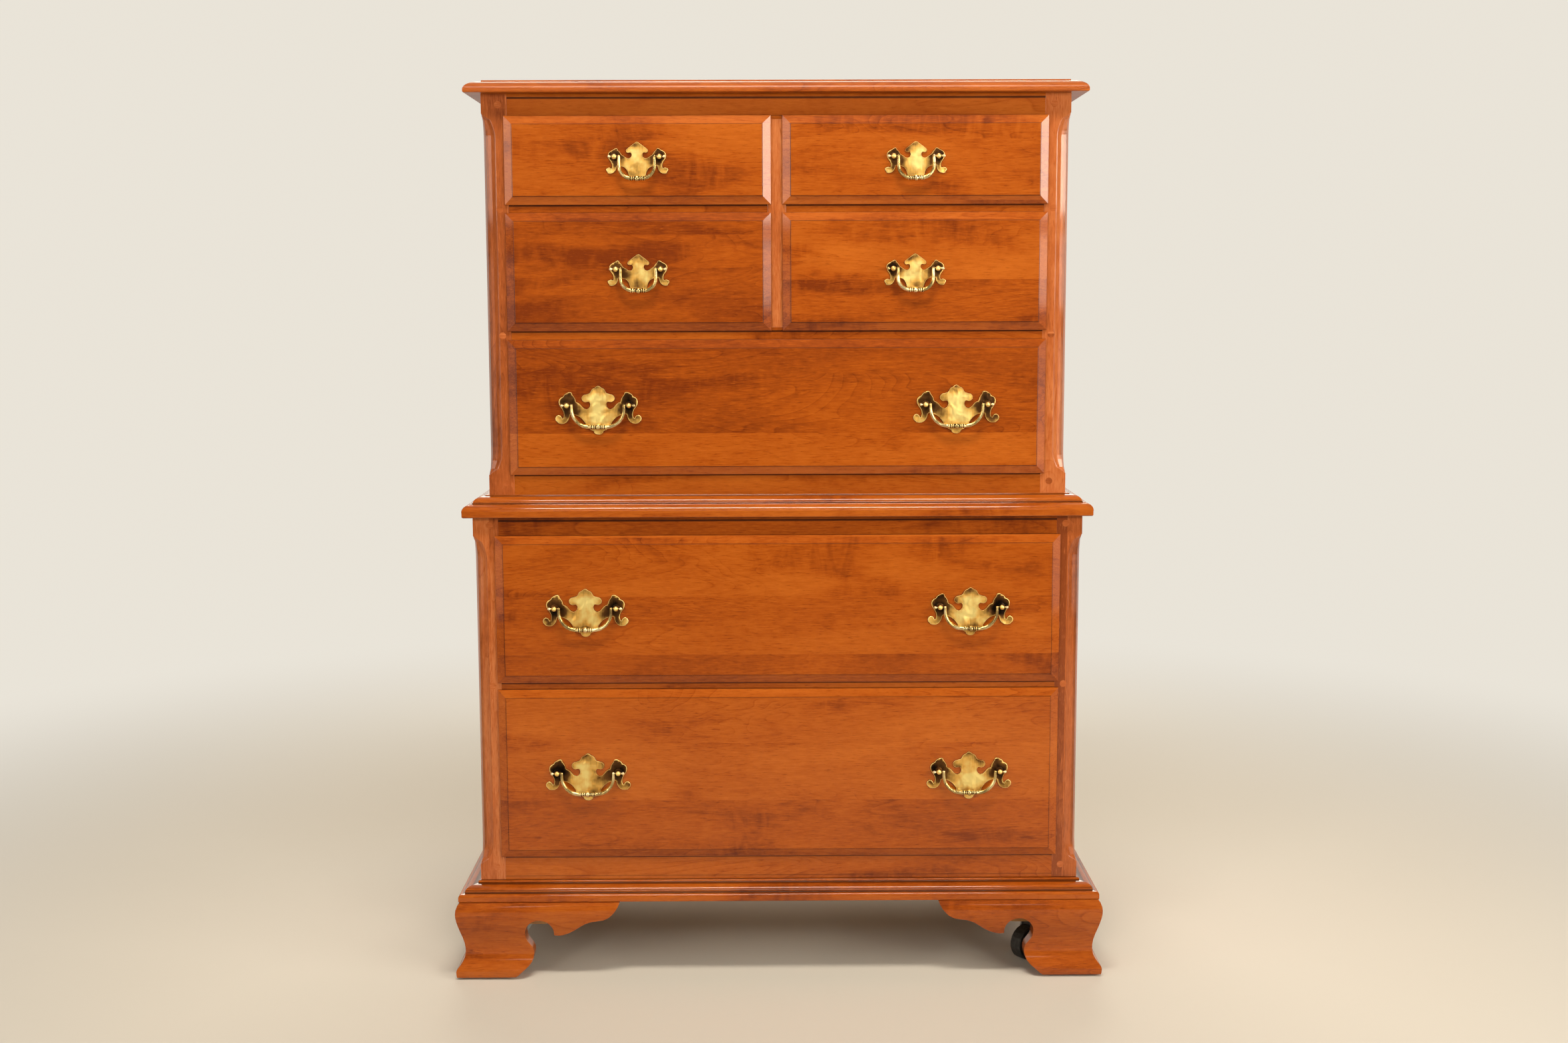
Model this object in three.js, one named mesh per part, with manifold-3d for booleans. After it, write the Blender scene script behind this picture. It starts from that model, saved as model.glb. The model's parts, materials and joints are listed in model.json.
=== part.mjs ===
// Chest-on-chest: a narrower upper case standing in a moulding on a wider lower case, on ogee
// bracket feet with a hidden caster behind each foot. Seven lipped drawers hang ten bail pulls.
// Millimetres, +Z up, front towards -Y, origin on the floor under the middle of the whole piece.

import * as THREE from 'three';
import { mergeVertices } from 'three/addons/utils/BufferGeometryUtils.js';
import Module from 'manifold-3d';

const wasm = await Module();
wasm.setup();

// Driving dimensions of the two cases.
const upperHalfWidth = 417;
const lowerHalfWidth = 439;
const lowerDepth = 500;
const upperSetback = 22;
const footClear = 3.5;
const footTop = 116;
const baseTop = 141.5;

// Boards, rails and the clearances between what is glued and what runs.
const sideThick = 19;
const topThick = 19;
const waistThick = 19;
const backThick = 8;
const rebateDepth = 9;
const guideHigh = 20;
const panelThick = 6;
const runnerWidth = 60;
const seat = 0.1;
const tidyWithin = 0.01;
const runGap = 0.3;
const overrun = 5;

// Posts at the front corners, with the stopped and fluted chamfer.
const upperPostWidth = 36;
const lowerPostWidth = 36;
const postDeep = 38;
const chamferWide = 18;
const chamferArris = 4.8;
const chamferMid = 9.5;
const chamferDeep = 19;
const chamferRun = 33;
const upperChamferTopStop = 27;
const upperChamferFootStop = 28;
const lowerChamferTopStop = 27;
const lowerChamferFootStop = 24;
// How far the chamfer has opened, against how far down its run, from the shoulder to full size.
const tongueShares = [[0, 0.02], [0.24, 0.66], [0.42, 0.84], [0.68, 0.95], [1, 1]];

// Heights of the drawer faces and the rails that show between them.
const bottomRailShow = 35;
const bottomFace = 251;
const lowerGap = 9.5;
const fourthFace = 216;
const lowerTopRailShow = 27;
const waistMouldingHigh = 11.4;
const upperBottomRailShow = 28.6;
const thirdFace = 194;
const secondGap = 12.5;
const secondFace = 167.5;
const firstGap = 11;
const firstFace = 124.5;
const upperTopRailShow = 30.5;
const mullionWidth = 26;

// Drawers: the lip laps the frame all round, and a thumbnail edge rises to a raised field.
const lipLap = 5;
const lipEdge = 2.5;
const thumbRise = 5.2;
const thumbRun = 12;
const fieldStep = 1.5;
const frontInside = 12;
const frontPlay = 1.5;
const boxPlay = 2;
const boxHeadroom = 8;
const boxSide = 12;
const boxBottom = 6;
const boxBottomUp = 8;
const boxTailGap = 8;

// Top board: how far it stands out, and its thumbnail edge.
const topOverhang = 22.5;
const topFieldIn = 23;
const topFieldStep = 2.5;
const topNoseLow = 4;
const topNoseRound = 1.5;

// Waist: a nosed board on the lower case, and the ovolo that the upper case stands in.
const waistOverhang = 14;
const waistNoseFlat = 9;
const waistNoseRound = 1.5;
const waistNoseRun = 9;
const ovoloFlat = 6;
const ovoloStep = 1.2;
const ovoloFillet = 1.5;

// Base moulding: bead, cove, fillet and nose, standing out over the feet.
const baseOverhang = 30;
const baseBead = 3.5;
const baseBeadOut = 2.5;
const baseCoveOut = 20;
const baseCoveHigh = 7;
const baseFillet = 4;
const baseNoseRound = 2;
const baseFrameWide = 90;

// Ogee bracket feet. Heights and offsets of the ogee, as shares of the foot's height and swell.
const footOverhang = 35;
const footSwell = 13;
const footWing = 241;
const footSideGap = 53;
const footSole = 87;
const backBraceThick = 19;
const backBraceWing = 130;
const ogeeShares = [
  [0, 0.92], [0.08, 1], [0.115, 0.86], [0.16, 0.55], [0.22, 0.24], [0.31, 0.02], [0.42, 0.04],
  [0.55, 0.28], [0.68, 0.64], [0.78, 0.88], [0.86, 0.98], [0.93, 0.86], [1, 0.5],
];
// The scroll under the wing: along the wing from the sole's inner edge, and up the foot.
const scrollShares = [
  [0, 0], [0.04, 0.045], [0.13, 0.145], [0.167, 0.22], [0.172, 0.31], [0.14, 0.39], [0.1, 0.45],
  [0.088, 0.54], [0.093, 0.62], [0.115, 0.69], [0.155, 0.745], [0.205, 0.763], [0.255, 0.745],
  [0.3, 0.7], [0.335, 0.63], [0.355, 0.572], [0.375, 0.545], [0.43, 0.542], [0.49, 0.565],
  [0.56, 0.605], [0.64, 0.67], [0.71, 0.72], [0.79, 0.745], [0.86, 0.775], [0.92, 0.83],
  [0.965, 0.9], [0.99, 0.96], [1, 1.05],
];

// Casters: a stem in a block behind each foot, a fork and a rubber-tyred wheel.
const casterBlockLow = 68;
const casterBlockSize = 88;
const casterIn = 49;
const casterFrontIn = 57;
const casterTrail = 20;
const wheelRadius = 25;
const wheelWidth = 20;
const wheelSides = 20;
const wheelWeb = 5;
const wheelHubRadius = 9;
const wheelRimRadius = 19;
const wheelShoulder = 1.5;
const axleRadius = 3;
const axleClear = 0.4;
const forkThick = 2.5;
const forkSideGap = 1;
const forkHalfWidth = 8;
const forkTop = 62;
const forkCrownRadius = 17;
const stemRadius = 5;
const stemClear = 0.5;
const stemLong = 34;
const crownClear = 3;

// Pulls: a pierced back plate, two ball-headed posts and a turned bail. The outlines run from the
// crest to the foot of one half, in shares of half the distance between the posts.
const largeBore = 88.9;
const smallBore = 63.5;
const plateThick = 1.8;
const plateBevel = 0.7;
const bailStand = 10.5;
const ballRadius = 3.6;
const postRadius = 2.6;
const postFlange = 5.4;
const postFlangeThick = 1.4;
const bailPinRadius = 1.4;
const bailClear = 0.35;
const bailSideGap = 1.2;
const bailWireRadius = 2;
const bailGripRadius = 2.7;
const bailTipRadius = 2.4;
const bailTipOut = 7.2;
const largeBailDrop = 30.8;
const smallBailDrop = 30.2;
const bailBend = 4;
const bailSteps = 8;
const largePlateShares = [
  [0, 0.63], [0.216, 0.494], [0.275, 0.388], [0.5, 0.29], [0.53, 0.2], [0.44, 0.094],
  [0.322, 0.118], [0.252, -0.024], [0.34, -0.125], [0.464, -0.094], [0.581, 0.035],
  [0.722, 0.099], [0.722, 0.188], [0.84, 0.405], [0.958, 0.412], [1.134, 0.27], [1.252, 0.212],
  [1.252, 0], [1.146, -0.165], [1.11, -0.33], [1.158, -0.43], [1.275, -0.318], [1.39, -0.4],
  [1.334, -0.541], [1.17, -0.6], [0.981, -0.494], [0.9, -0.282], [0.628, -0.365],
  [0.487, -0.494], [0.33, -0.76], [0.165, -0.84], [0.14, -0.905], [0, -0.953],
];
const smallPlateShares = [
  [0, 0.67], [0.376, 0.42], [0.489, 0.267], [0.39, 0.18], [0.3, 0.202], [0.25, 0.07],
  [0.354, -0.059], [0.463, -0.037], [0.702, 0.115], [0.843, 0.278], [0.865, 0.354],
  [0.963, 0.376], [1.267, 0.191], [1.289, 0.083], [1.246, -0.091], [1.159, -0.2],
  [1.115, -0.352], [1.15, -0.5], [1.224, -0.461], [1.354, -0.493], [1.387, -0.56],
  [1.267, -0.722], [1.137, -0.722], [1.007, -0.657], [0.909, -0.396], [0.724, -0.407],
  [0.572, -0.461], [0.463, -0.57], [0.376, -0.83], [0.18, -0.852], [0, -0.852],
];
// The bail's bend: across, in shares of half the bore, and down, in shares of its drop.
const largeBailShares = [[0.84, 0.32], [0.77, 0.56], [0.62, 0.8], [0.44, 0.96], [0.31, 1]];
const smallBailShares = [[0.81, 0.3], [0.8, 0.52], [0.7, 0.76], [0.5, 0.94], [0.32, 1]];
// Rings turned on the middle of the grip: place across and how much thicker than the wire.
const gripStartShare = 0.75;
const gripShares = [[0.26, 1], [0.21, 1.25], [0.15, 0.95], [0.09, 0.95], [0.04, 1.25], [0, 1.4]];

// Everything below is worked out from the sizes above.
const bottomFaceLow = baseTop + bottomRailShow;
const fourthFaceLow = bottomFaceLow + bottomFace + lowerGap;
const lowerCaseTop = fourthFaceLow + fourthFace + lowerTopRailShow;
const waistTop = lowerCaseTop + waistThick;
const ovoloTop = waistTop + waistMouldingHigh;
const thirdFaceLow = ovoloTop + upperBottomRailShow;
const secondFaceLow = thirdFaceLow + thirdFace + secondGap;
const firstFaceLow = secondFaceLow + secondFace + firstGap;
const upperCaseTop = firstFaceLow + firstFace + upperTopRailShow;
const upperOpening = upperHalfWidth - upperPostWidth;
const lowerOpening = lowerHalfWidth - lowerPostWidth;
const fieldProud = runGap + lipEdge + thumbRise + fieldStep;

const maple = { color: 0xb5601f, roughness: 0.38, metalness: 0 };
const pale = { color: 0xd9b988, roughness: 0.6, metalness: 0 };
const ply = { color: 0xc39a63, roughness: 0.7, metalness: 0 };
const brass = { color: 0xb9974a, roughness: 0.35, metalness: 1 };
const steel = { color: 0x9a9a98, roughness: 0.4, metalness: 1 };
const rubber = { color: 0x1d1c1b, roughness: 0.7, metalness: 0 };

const group = new THREE.Group();
group.name = 'chest_on_chest';
group.position.y = (footOverhang - lowerDepth) / 2;

function add(name, geometry, finish) {
  const mesh = new THREE.Mesh(geometry, new THREE.MeshStandardMaterial(finish));
  mesh.name = name;
  group.add(mesh);
  return mesh;
}

// Three ways of standing a flat outline up: seen from above, from the front and from the side.
const plan = (u, v, w) => [u, v, w];
const elevation = (u, v, w) => [u, w, v];
const profile = (u, v, w) => [w, u, v];

// Turns faces the right way out by the sign of the enclosed volume.
function facingOut(positions, indices) {
  const p = (i, k) => positions[3 * i + k];
  let volume = 0;
  for (let i = 0; i < indices.length; i += 3) {
    const [a, b, c] = [indices[i], indices[i + 1], indices[i + 2]];
    volume += p(a, 0) * (p(b, 1) * p(c, 2) - p(b, 2) * p(c, 1));
    volume += p(a, 1) * (p(b, 2) * p(c, 0) - p(b, 0) * p(c, 2));
    volume += p(a, 2) * (p(b, 0) * p(c, 1) - p(b, 1) * p(c, 0));
  }
  if (volume < 0) {
    for (let i = 0; i < indices.length; i += 3) {
      [indices[i + 1], indices[i + 2]] = [indices[i + 2], indices[i + 1]];
    }
  }
  const geometry = new THREE.BufferGeometry();
  geometry.setAttribute('position', new THREE.Float32BufferAttribute(positions, 3));
  geometry.setIndex(indices);
  return geometry;
}

function area(outline) {
  return outline.reduce((sum, [u, v], i) => {
    const [s, t] = outline[(i + 1) % outline.length];
    return sum + (u * t - s * v) / 2;
  }, 0);
}

// The triangles that close an outline, turning the same way as the outline does.
function cap(outline) {
  const faces = THREE.ShapeUtils.triangulateShape(outline.map(([u, v]) => new THREE.Vector2(u, v)), []);
  const facing = faces.reduce((sum, face) => sum + area(face.map(i => outline[i])), 0);
  return facing * area(outline) > 0 ? faces : faces.map(([a, b, c]) => [a, c, b]);
}

// Joins outlines with the same number of points, each at its own level, into a closed solid.
function loft(outlines, levels, place) {
  const count = outlines[0].length;
  const positions = outlines.flatMap((outline, k) => outline.flatMap(([u, v]) => place(u, v, levels[k])));
  const indices = [];
  for (let k = 0; k + 1 < outlines.length; k += 1) {
    for (let i = 0; i < count; i += 1) {
      const [a, b] = [k * count + i, k * count + ((i + 1) % count)];
      indices.push(a, b, b + count, a, b + count, a + count);
    }
  }
  const last = (outlines.length - 1) * count;
  for (const [a, b, c] of cap(outlines[0])) indices.push(a, c, b);
  for (const [a, b, c] of cap(outlines[outlines.length - 1])) indices.push(last + a, last + b, last + c);
  return facingOut(positions, indices);
}

const prism = (outline, from, to, place) => loft([outline, outline], [from, to], place);
const rectangle = (u0, u1, v0, v1) => [[u0, v0], [u1, v0], [u1, v1], [u0, v1]];
const block = (x0, x1, y0, y1, z0, z1) => prism(rectangle(x0, x1, y0, y1), z0, z1, plan);

function solid(geometry) {
  const bare = geometry.clone();
  bare.deleteAttribute('normal');
  bare.deleteAttribute('uv');
  const merged = mergeVertices(bare);
  const mesh = new wasm.Mesh({
    numProp: 3,
    vertProperties: new Float32Array(merged.attributes.position.array),
    triVerts: new Uint32Array(merged.index.array),
  });
  return new wasm.Manifold(mesh);
}

function geometryOf(body) {
  const { vertProperties, triVerts } = body.simplify(tidyWithin).getMesh();
  const geometry = new THREE.BufferGeometry();
  geometry.setAttribute('position', new THREE.Float32BufferAttribute(vertProperties, 3));
  geometry.setIndex(Array.from(triVerts));
  return geometry;
}

const joined = geometries => geometries.map(solid).reduce((sum, part) => sum.add(part));
const less = (body, cuts) => cuts.map(solid).reduce((rest, cut) => rest.subtract(cut), body);

// Points of a quarter round from (0, 0) to (1, 1), leaving the first point upright or level.
function quarter(steps, hollow) {
  return Array.from({ length: steps + 1 }, (_, i) => {
    const turn = (Math.PI / 2) * (i / steps);
    return hollow ? [1 - Math.cos(turn), Math.sin(turn)] : [Math.sin(turn), 1 - Math.cos(turn)];
  });
}

// A board with a moulded edge on its front and both ends, square at its back.
function mouldedBoard(half, front, back, edge) {
  const outlines = edge.map(([out]) => rectangle(-half - out, half + out, front - out, back));
  return loft(outlines, edge.map(([, z]) => z), plan);
}

// Top board, lying on the upper case.
function topEdge() {
  const low = upperCaseTop;
  const noseAt = low + topNoseLow;
  const rise = topThick - topNoseLow - topFieldStep;
  const curve = quarter(5, true).map(([u, v]) => [topOverhang - topFieldIn * u, noseAt + rise * v]);
  return [
    [topOverhang - topNoseRound, low], [topOverhang, low + topNoseRound], ...curve,
    [topOverhang - topFieldIn, low + topThick],
  ];
}
add('top_board', mouldedBoard(upperHalfWidth, upperSetback, lowerDepth, topEdge()), maple);

// One side board of a case with its corner post, its stopped chamfer and the rebate for the back.
function caseSide(half, front, postWidth, low, high, stopLow, stopHigh, sign) {
  const back = lowerDepth;
  const inner = half - sideThick;
  const outline = [
    [half, front], [half, back], [inner + rebateDepth, back],
    [inner + rebateDepth, back - backThick - seat], [inner, back - backThick - seat],
    [inner, front + postDeep], [half - postWidth, front + postDeep], [half - postWidth, front],
  ];
  const opening = share => [
    [half - chamferWide * share, front - overrun], [half - chamferWide * share, front],
    [half - chamferArris * share, front + chamferMid * share], [half, front + chamferDeep * share],
    [half + overrun, front + chamferDeep * share], [half + overrun, front - overrun],
  ];
  const down = tongueShares.map(([run, share]) => [high - stopHigh - run * chamferRun, share]);
  const up = tongueShares.map(([run, share]) => [low + stopLow + run * chamferRun, share]).reverse();
  const stations = [...down, ...up];
  const cut = loft(stations.map(([, share]) => opening(share)), stations.map(([z]) => z), plan);
  const body = less(solid(prism(outline, low, high, plan)), [cut]);
  return geometryOf(sign > 0 ? body : body.mirror([1, 0, 0]));
}
for (const [name, sign] of [['left', -1], ['right', 1]]) {
  add(`upper_side_${name}`, caseSide(
    upperHalfWidth, upperSetback, upperPostWidth, waistTop + seat, upperCaseTop - seat,
    upperChamferFootStop + waistMouldingHigh, upperChamferTopStop, sign,
  ), maple);
  add(`lower_side_${name}`, caseSide(
    lowerHalfWidth, 0, lowerPostWidth, baseTop + seat, lowerCaseTop - seat,
    lowerChamferFootStop, lowerChamferTopStop, sign,
  ), maple);
}

// A frame across a case: narrow between the posts and wide behind them, open in the middle.
function caseFrame(half, postWidth, front, low, high) {
  const openHalf = half - postWidth - seat;
  const wide = half - sideThick - seat;
  const from = front + postDeep + seat;
  const to = lowerDepth - backThick - seat - seat;
  const outline = [
    [-openHalf, front], [openHalf, front], [openHalf, from], [wide, from],
    [wide, to], [-wide, to], [-wide, from], [-openHalf, from],
  ];
  const hole = block(
    -wide + runnerWidth, wide - runnerWidth, front + runnerWidth, to - runnerWidth,
    low - overrun, high + overrun,
  );
  return less(solid(prism(outline, low, high, plan)), [hole]);
}

// A frame that a drawer runs on, with a dust panel and the guides that keep the drawer straight.
function runnerFrame(half, postWidth, front, low, high) {
  const wide = half - sideThick - seat - seat;
  const from = front + postDeep + seat + seat;
  const to = lowerDepth - backThick - seat * 3;
  const lap = runnerWidth / 2;
  const middle = (low + high) / 2;
  const parts = [block(-wide + lap, wide - lap, front + lap, to - lap, middle, middle + panelThick)];
  for (const sign of [-1, 1]) {
    const edges = [sign * (half - postWidth), sign * wide].sort((a, b) => a - b);
    parts.push(block(...edges, from, to, high - panelThick, high + guideHigh));
  }
  return parts.map(solid).reduce((sum, part) => sum.add(part), caseFrame(half, postWidth, front, low, high));
}

const rowTop = (low, face) => low + face - lipLap;
const rowFloor = low => low + lipLap;

add('upper_top_frame', geometryOf(caseFrame(
  upperHalfWidth, upperPostWidth, upperSetback, rowTop(firstFaceLow, firstFace), upperCaseTop - seat,
)), maple);

// Between the small drawers an upright mullion runs down through the first frame's rail.
function centreDivider() {
  const low = rowFloor(secondFaceLow) + seat;
  const high = rowTop(firstFaceLow, firstFace) - seat;
  const to = lowerDepth - backThick - 2 * seat;
  const frame = runnerFrame(
    upperHalfWidth, upperPostWidth, upperSetback,
    rowTop(secondFaceLow, secondFace), rowFloor(firstFaceLow),
  );
  return frame.add(solid(block(-mullionWidth / 2, mullionWidth / 2, upperSetback, to, low, high)));
}
add('upper_centre_divider', geometryOf(centreDivider()), maple);
add('upper_lower_divider', geometryOf(runnerFrame(
  upperHalfWidth, upperPostWidth, upperSetback,
  rowTop(thirdFaceLow, thirdFace), rowFloor(secondFaceLow),
)), maple);
add('upper_bottom_frame', geometryOf(runnerFrame(
  upperHalfWidth, upperPostWidth, upperSetback, waistTop + seat, rowFloor(thirdFaceLow),
)), maple);
add('lower_divider', geometryOf(runnerFrame(
  lowerHalfWidth, lowerPostWidth, 0, rowTop(bottomFaceLow, bottomFace), rowFloor(fourthFaceLow),
)), maple);

// Backs, let into the rebates of the sides.
function backPanel(half, low, high) {
  const wide = half - sideThick + rebateDepth - seat;
  return block(-wide, wide, lowerDepth - backThick, lowerDepth, low + seat, high - seat);
}
add('upper_back', backPanel(upperHalfWidth, waistTop, upperCaseTop), ply);
add('lower_back', backPanel(lowerHalfWidth, baseTop, lowerCaseTop), ply);

// Waist frame: top rail and kickers of the lower case, the nosed board on them and the ovolo
// round the upper case's foot.
function waistFrame() {
  const low = lowerCaseTop;
  const noseTop = low + waistNoseFlat;
  const nose = quarter(4, false).map(([u, v]) => [
    waistOverhang - waistNoseRun * v, noseTop + (waistThick - waistNoseFlat) * u,
  ]);
  const board = mouldedBoard(lowerHalfWidth, 0, lowerDepth, [
    [waistOverhang - waistNoseRound, low], [waistOverhang, low + waistNoseRound], ...nose,
  ]);
  const step = lowerHalfWidth - upperHalfWidth;
  const foot = waistTop + ovoloFillet;
  const high = waistMouldingHigh - ovoloFillet - ovoloStep;
  const run = step - ovoloFlat;
  const round = quarter(4, false).map(([u, v]) => [-run * v, foot + high * u]);
  const ovolo = mouldedBoard(lowerHalfWidth, 0, lowerDepth, [
    [0, waistTop - ovoloFillet], ...round, [-run, ovoloTop],
  ]);
  const well = block(
    -upperHalfWidth - runGap, upperHalfWidth + runGap, upperSetback - runGap,
    lowerDepth + overrun, waistTop, ovoloTop + overrun,
  );
  const kicker = caseFrame(
    lowerHalfWidth, lowerPostWidth, 0, rowTop(fourthFaceLow, fourthFace), lowerCaseTop + seat,
  );
  return kicker.add(solid(board)).add(less(solid(ovolo), [well]));
}
add('waist_frame', geometryOf(waistFrame()), maple);

// Base frame: the mitred base moulding, the lower case's bottom rail and runners, and a block
// behind each foot, bored for the caster's stem.
const casters = [
  { name: 'front_left', x: -1, y: casterFrontIn, turn: 205 },
  { name: 'front_right', x: 1, y: casterFrontIn, turn: 216.87 },
  { name: 'back_left', x: -1, y: lowerDepth - backBraceThick - casterIn, turn: 80 },
  { name: 'back_right', x: 1, y: lowerDepth - backBraceThick - casterIn, turn: 125 },
].map(caster => ({ ...caster, x: caster.x * (lowerHalfWidth - casterIn) }));

// A round rod with flat sides, standing on z.
function upright(radius, low, high, sides, x, y) {
  const rod = new THREE.CylinderGeometry(radius, radius, high - low, sides);
  return rod.rotateX(Math.PI / 2).translate(x, y, (low + high) / 2);
}

function baseFrame() {
  const cove = quarter(4, true).map(([u, v]) => [
    baseBeadOut + (baseCoveOut - baseBeadOut) * (1 - v),
    baseTop - baseBead - baseCoveHigh * (1 - u),
  ]);
  const coveFoot = baseTop - baseBead - baseCoveHigh;
  const nose = quarter(3, false).map(([u, v]) => [
    baseOverhang - (baseOverhang - baseCoveOut) * v, coveFoot - baseFillet * (1 - u),
  ]);
  const edge = [
    [baseOverhang - baseNoseRound, footTop], [baseOverhang, footTop + baseNoseRound],
    ...nose, ...cove.slice(1), [baseBeadOut, baseTop],
  ];
  const inside = block(
    -lowerHalfWidth + baseFrameWide, lowerHalfWidth - baseFrameWide, baseFrameWide,
    lowerDepth - baseFrameWide, footTop - overrun, baseTop + overrun,
  );
  let body = less(solid(mouldedBoard(lowerHalfWidth, 0, lowerDepth, edge)), [inside]);
  body = body.add(runnerFrame(lowerHalfWidth, lowerPostWidth, 0, baseTop - seat, rowFloor(bottomFaceLow)));
  for (const { x, y } of casters) {
    const half = casterBlockSize / 2;
    const near = Math.min(half, casterIn - seat);
    const out = Math.sign(x);
    const across = [x + out * near, x - out * half].sort((a, b) => a - b);
    const along = y < lowerDepth / 2 ? [y - half, y + half] : [y - half, y + near];
    body = body.add(solid(block(...across, ...along, casterBlockLow, footTop + seat)));
    body = body.subtract(solid(upright(
      stemRadius + stemClear, casterBlockLow - overrun, casterBlockLow + stemLong + crownClear, 16, x, y,
    )));
  }
  return body;
}
add('base_frame', geometryOf(baseFrame()), maple);

// Feet. The ogee runs round the corner; the scroll is sawn through each wing. Along a side, the
// wings of the front and back feet share the length and leave a gap between them.
const footHigh = footTop - seat - footClear;
const sideWing = (lowerDepth + footOverhang - footSideGap) / 2;
const ogeeOut = share => footOverhang - footSwell * (1 - share);

function scroll(from, wing) {
  const points = scrollShares.map(([u, v]) => [from + u * (wing - from), footClear + v * footHigh]);
  const far = wing + overrun;
  const under = footClear - overrun;
  return [[from, under], ...points, [far, points[points.length - 1][1]], [far, under]];
}

// The part of the wing under the scroll, as a cut for a foot at the right-hand front corner.
function sawCut(alongFront) {
  const corner = alongFront ? lowerHalfWidth + footOverhang : -footOverhang;
  const wing = alongFront ? footWing : sideWing;
  const outline = scroll(footSole, wing).map(([u, z]) => [alongFront ? corner - u : corner + u, z]);
  if (alongFront) return prism(outline, -footOverhang - overrun, overrun, elevation);
  return prism(outline, lowerHalfWidth - overrun, lowerHalfWidth + footOverhang + overrun, profile);
}

function frontFoot(sign) {
  const outlines = ogeeShares.map(([, share]) => {
    const out = ogeeOut(share);
    const inner = lowerHalfWidth + footOverhang - footWing;
    const far = sideWing - footOverhang;
    return [
      [lowerHalfWidth + out, -out], [lowerHalfWidth + out, far], [lowerHalfWidth + seat, far],
      [lowerHalfWidth + seat, -seat], [inner, -seat], [inner, -out],
    ];
  });
  const levels = ogeeShares.map(([share]) => footClear + share * footHigh);
  const body = less(solid(loft(outlines, levels, plan)), [sawCut(true), sawCut(false)]);
  return geometryOf(sign > 0 ? body : body.mirror([1, 0, 0]));
}

function backFoot(sign) {
  const near = lowerDepth - sideWing;
  const outlines = ogeeShares.map(([, share]) => {
    const out = ogeeOut(share);
    const inner = lowerHalfWidth + seat;
    return [
      [lowerHalfWidth + out, near], [lowerHalfWidth + out, lowerDepth],
      [inner - backBraceWing, lowerDepth], [inner - backBraceWing, lowerDepth - backBraceThick],
      [inner, lowerDepth - backBraceThick], [inner, near],
    ];
  });
  const levels = ogeeShares.map(([share]) => footClear + share * footHigh);
  const side = prism(
    scroll(footSole, sideWing).map(([u, z]) => [lowerDepth - u, z]),
    lowerHalfWidth - overrun, lowerHalfWidth + footOverhang + overrun, profile,
  );
  // The brace at the back is sawn off on a slant, from a short sole up to its wing.
  const wingEnd = lowerHalfWidth - backBraceWing;
  const slant = prism([
    [lowerHalfWidth - footSole / 2, footClear - overrun], [lowerHalfWidth - footSole / 2, footClear],
    [wingEnd, footClear + footHigh * 0.75], [wingEnd - overrun, footClear + footHigh * 0.75],
    [wingEnd - overrun, footClear - overrun],
  ], lowerDepth - backBraceThick - overrun, lowerDepth + overrun, elevation);
  const body = less(solid(loft(outlines, levels, plan)), [side, slant]);
  return geometryOf(sign > 0 ? body : body.mirror([1, 0, 0]));
}
for (const [name, sign] of [['left', -1], ['right', 1]]) {
  add(`front_foot_${name}`, frontFoot(sign), maple);
  add(`back_foot_${name}`, backFoot(sign), maple);
}

// Casters. Each is built with its stem on the Z axis and the wheel trailing along -X.
function caster(name, x, y, turn) {
  const legInside = wheelWidth / 2 + forkSideGap;
  const wheelAt = -casterTrail;
  const leg = side => {
    const edges = [side * legInside, side * (legInside + forkThick)].sort((a, b) => a - b);
    return prism([
      [wheelAt - forkHalfWidth, wheelRadius], [wheelAt - forkHalfWidth / 2, wheelRadius - forkHalfWidth],
      [wheelAt + forkHalfWidth / 2, wheelRadius - forkHalfWidth], [wheelAt + forkHalfWidth, wheelRadius],
      [forkCrownRadius, forkTop - forkThick], [forkCrownRadius, forkTop], [-forkCrownRadius, forkTop],
    ], ...edges, elevation);
  };
  const crown = upright(forkCrownRadius, forkTop - forkThick, forkTop, 16, 0, 0);
  const stem = upright(stemRadius, forkTop - forkThick, casterBlockLow + stemLong, 16, 0, 0);
  const reach = legInside + forkThick;
  const axle = new THREE.CylinderGeometry(axleRadius, axleRadius, 2 * reach, 12);
  axle.translate(wheelAt, 0, wheelRadius);
  const fork = joined([leg(-1), leg(1), crown, stem, axle]);

  const rim = wheelRadius / Math.cos(Math.PI / wheelSides);
  const half = wheelWidth / 2;
  const bore = axleRadius + axleClear;
  const side = [
    [bore, half], [wheelHubRadius, half], [wheelRimRadius, wheelWeb],
    [rim - wheelShoulder, half], [rim, half - wheelShoulder],
  ];
  const ring = [...side, ...side.map(([r, h]) => [r, -h]).reverse()].reverse();
  const points = [...ring, ring[0]].map(([r, h]) => new THREE.Vector2(r, h));
  const wheel = new THREE.LatheGeometry(points, wheelSides, Math.PI / wheelSides);
  wheel.translate(wheelAt, 0, wheelRadius);

  const frame = new THREE.Group();
  frame.position.set(x, y, 0);
  frame.rotation.z = THREE.MathUtils.degToRad(turn - 180);
  group.add(frame);
  for (const [piece, geometry, finish] of [['fork', geometryOf(fork), steel], ['wheel', wheel, rubber]]) {
    frame.add(add(`caster_${name}_${piece}`, geometry, finish));
  }
}
for (const { name, x, y, turn } of casters) caster(name, x, y, turn);

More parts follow.
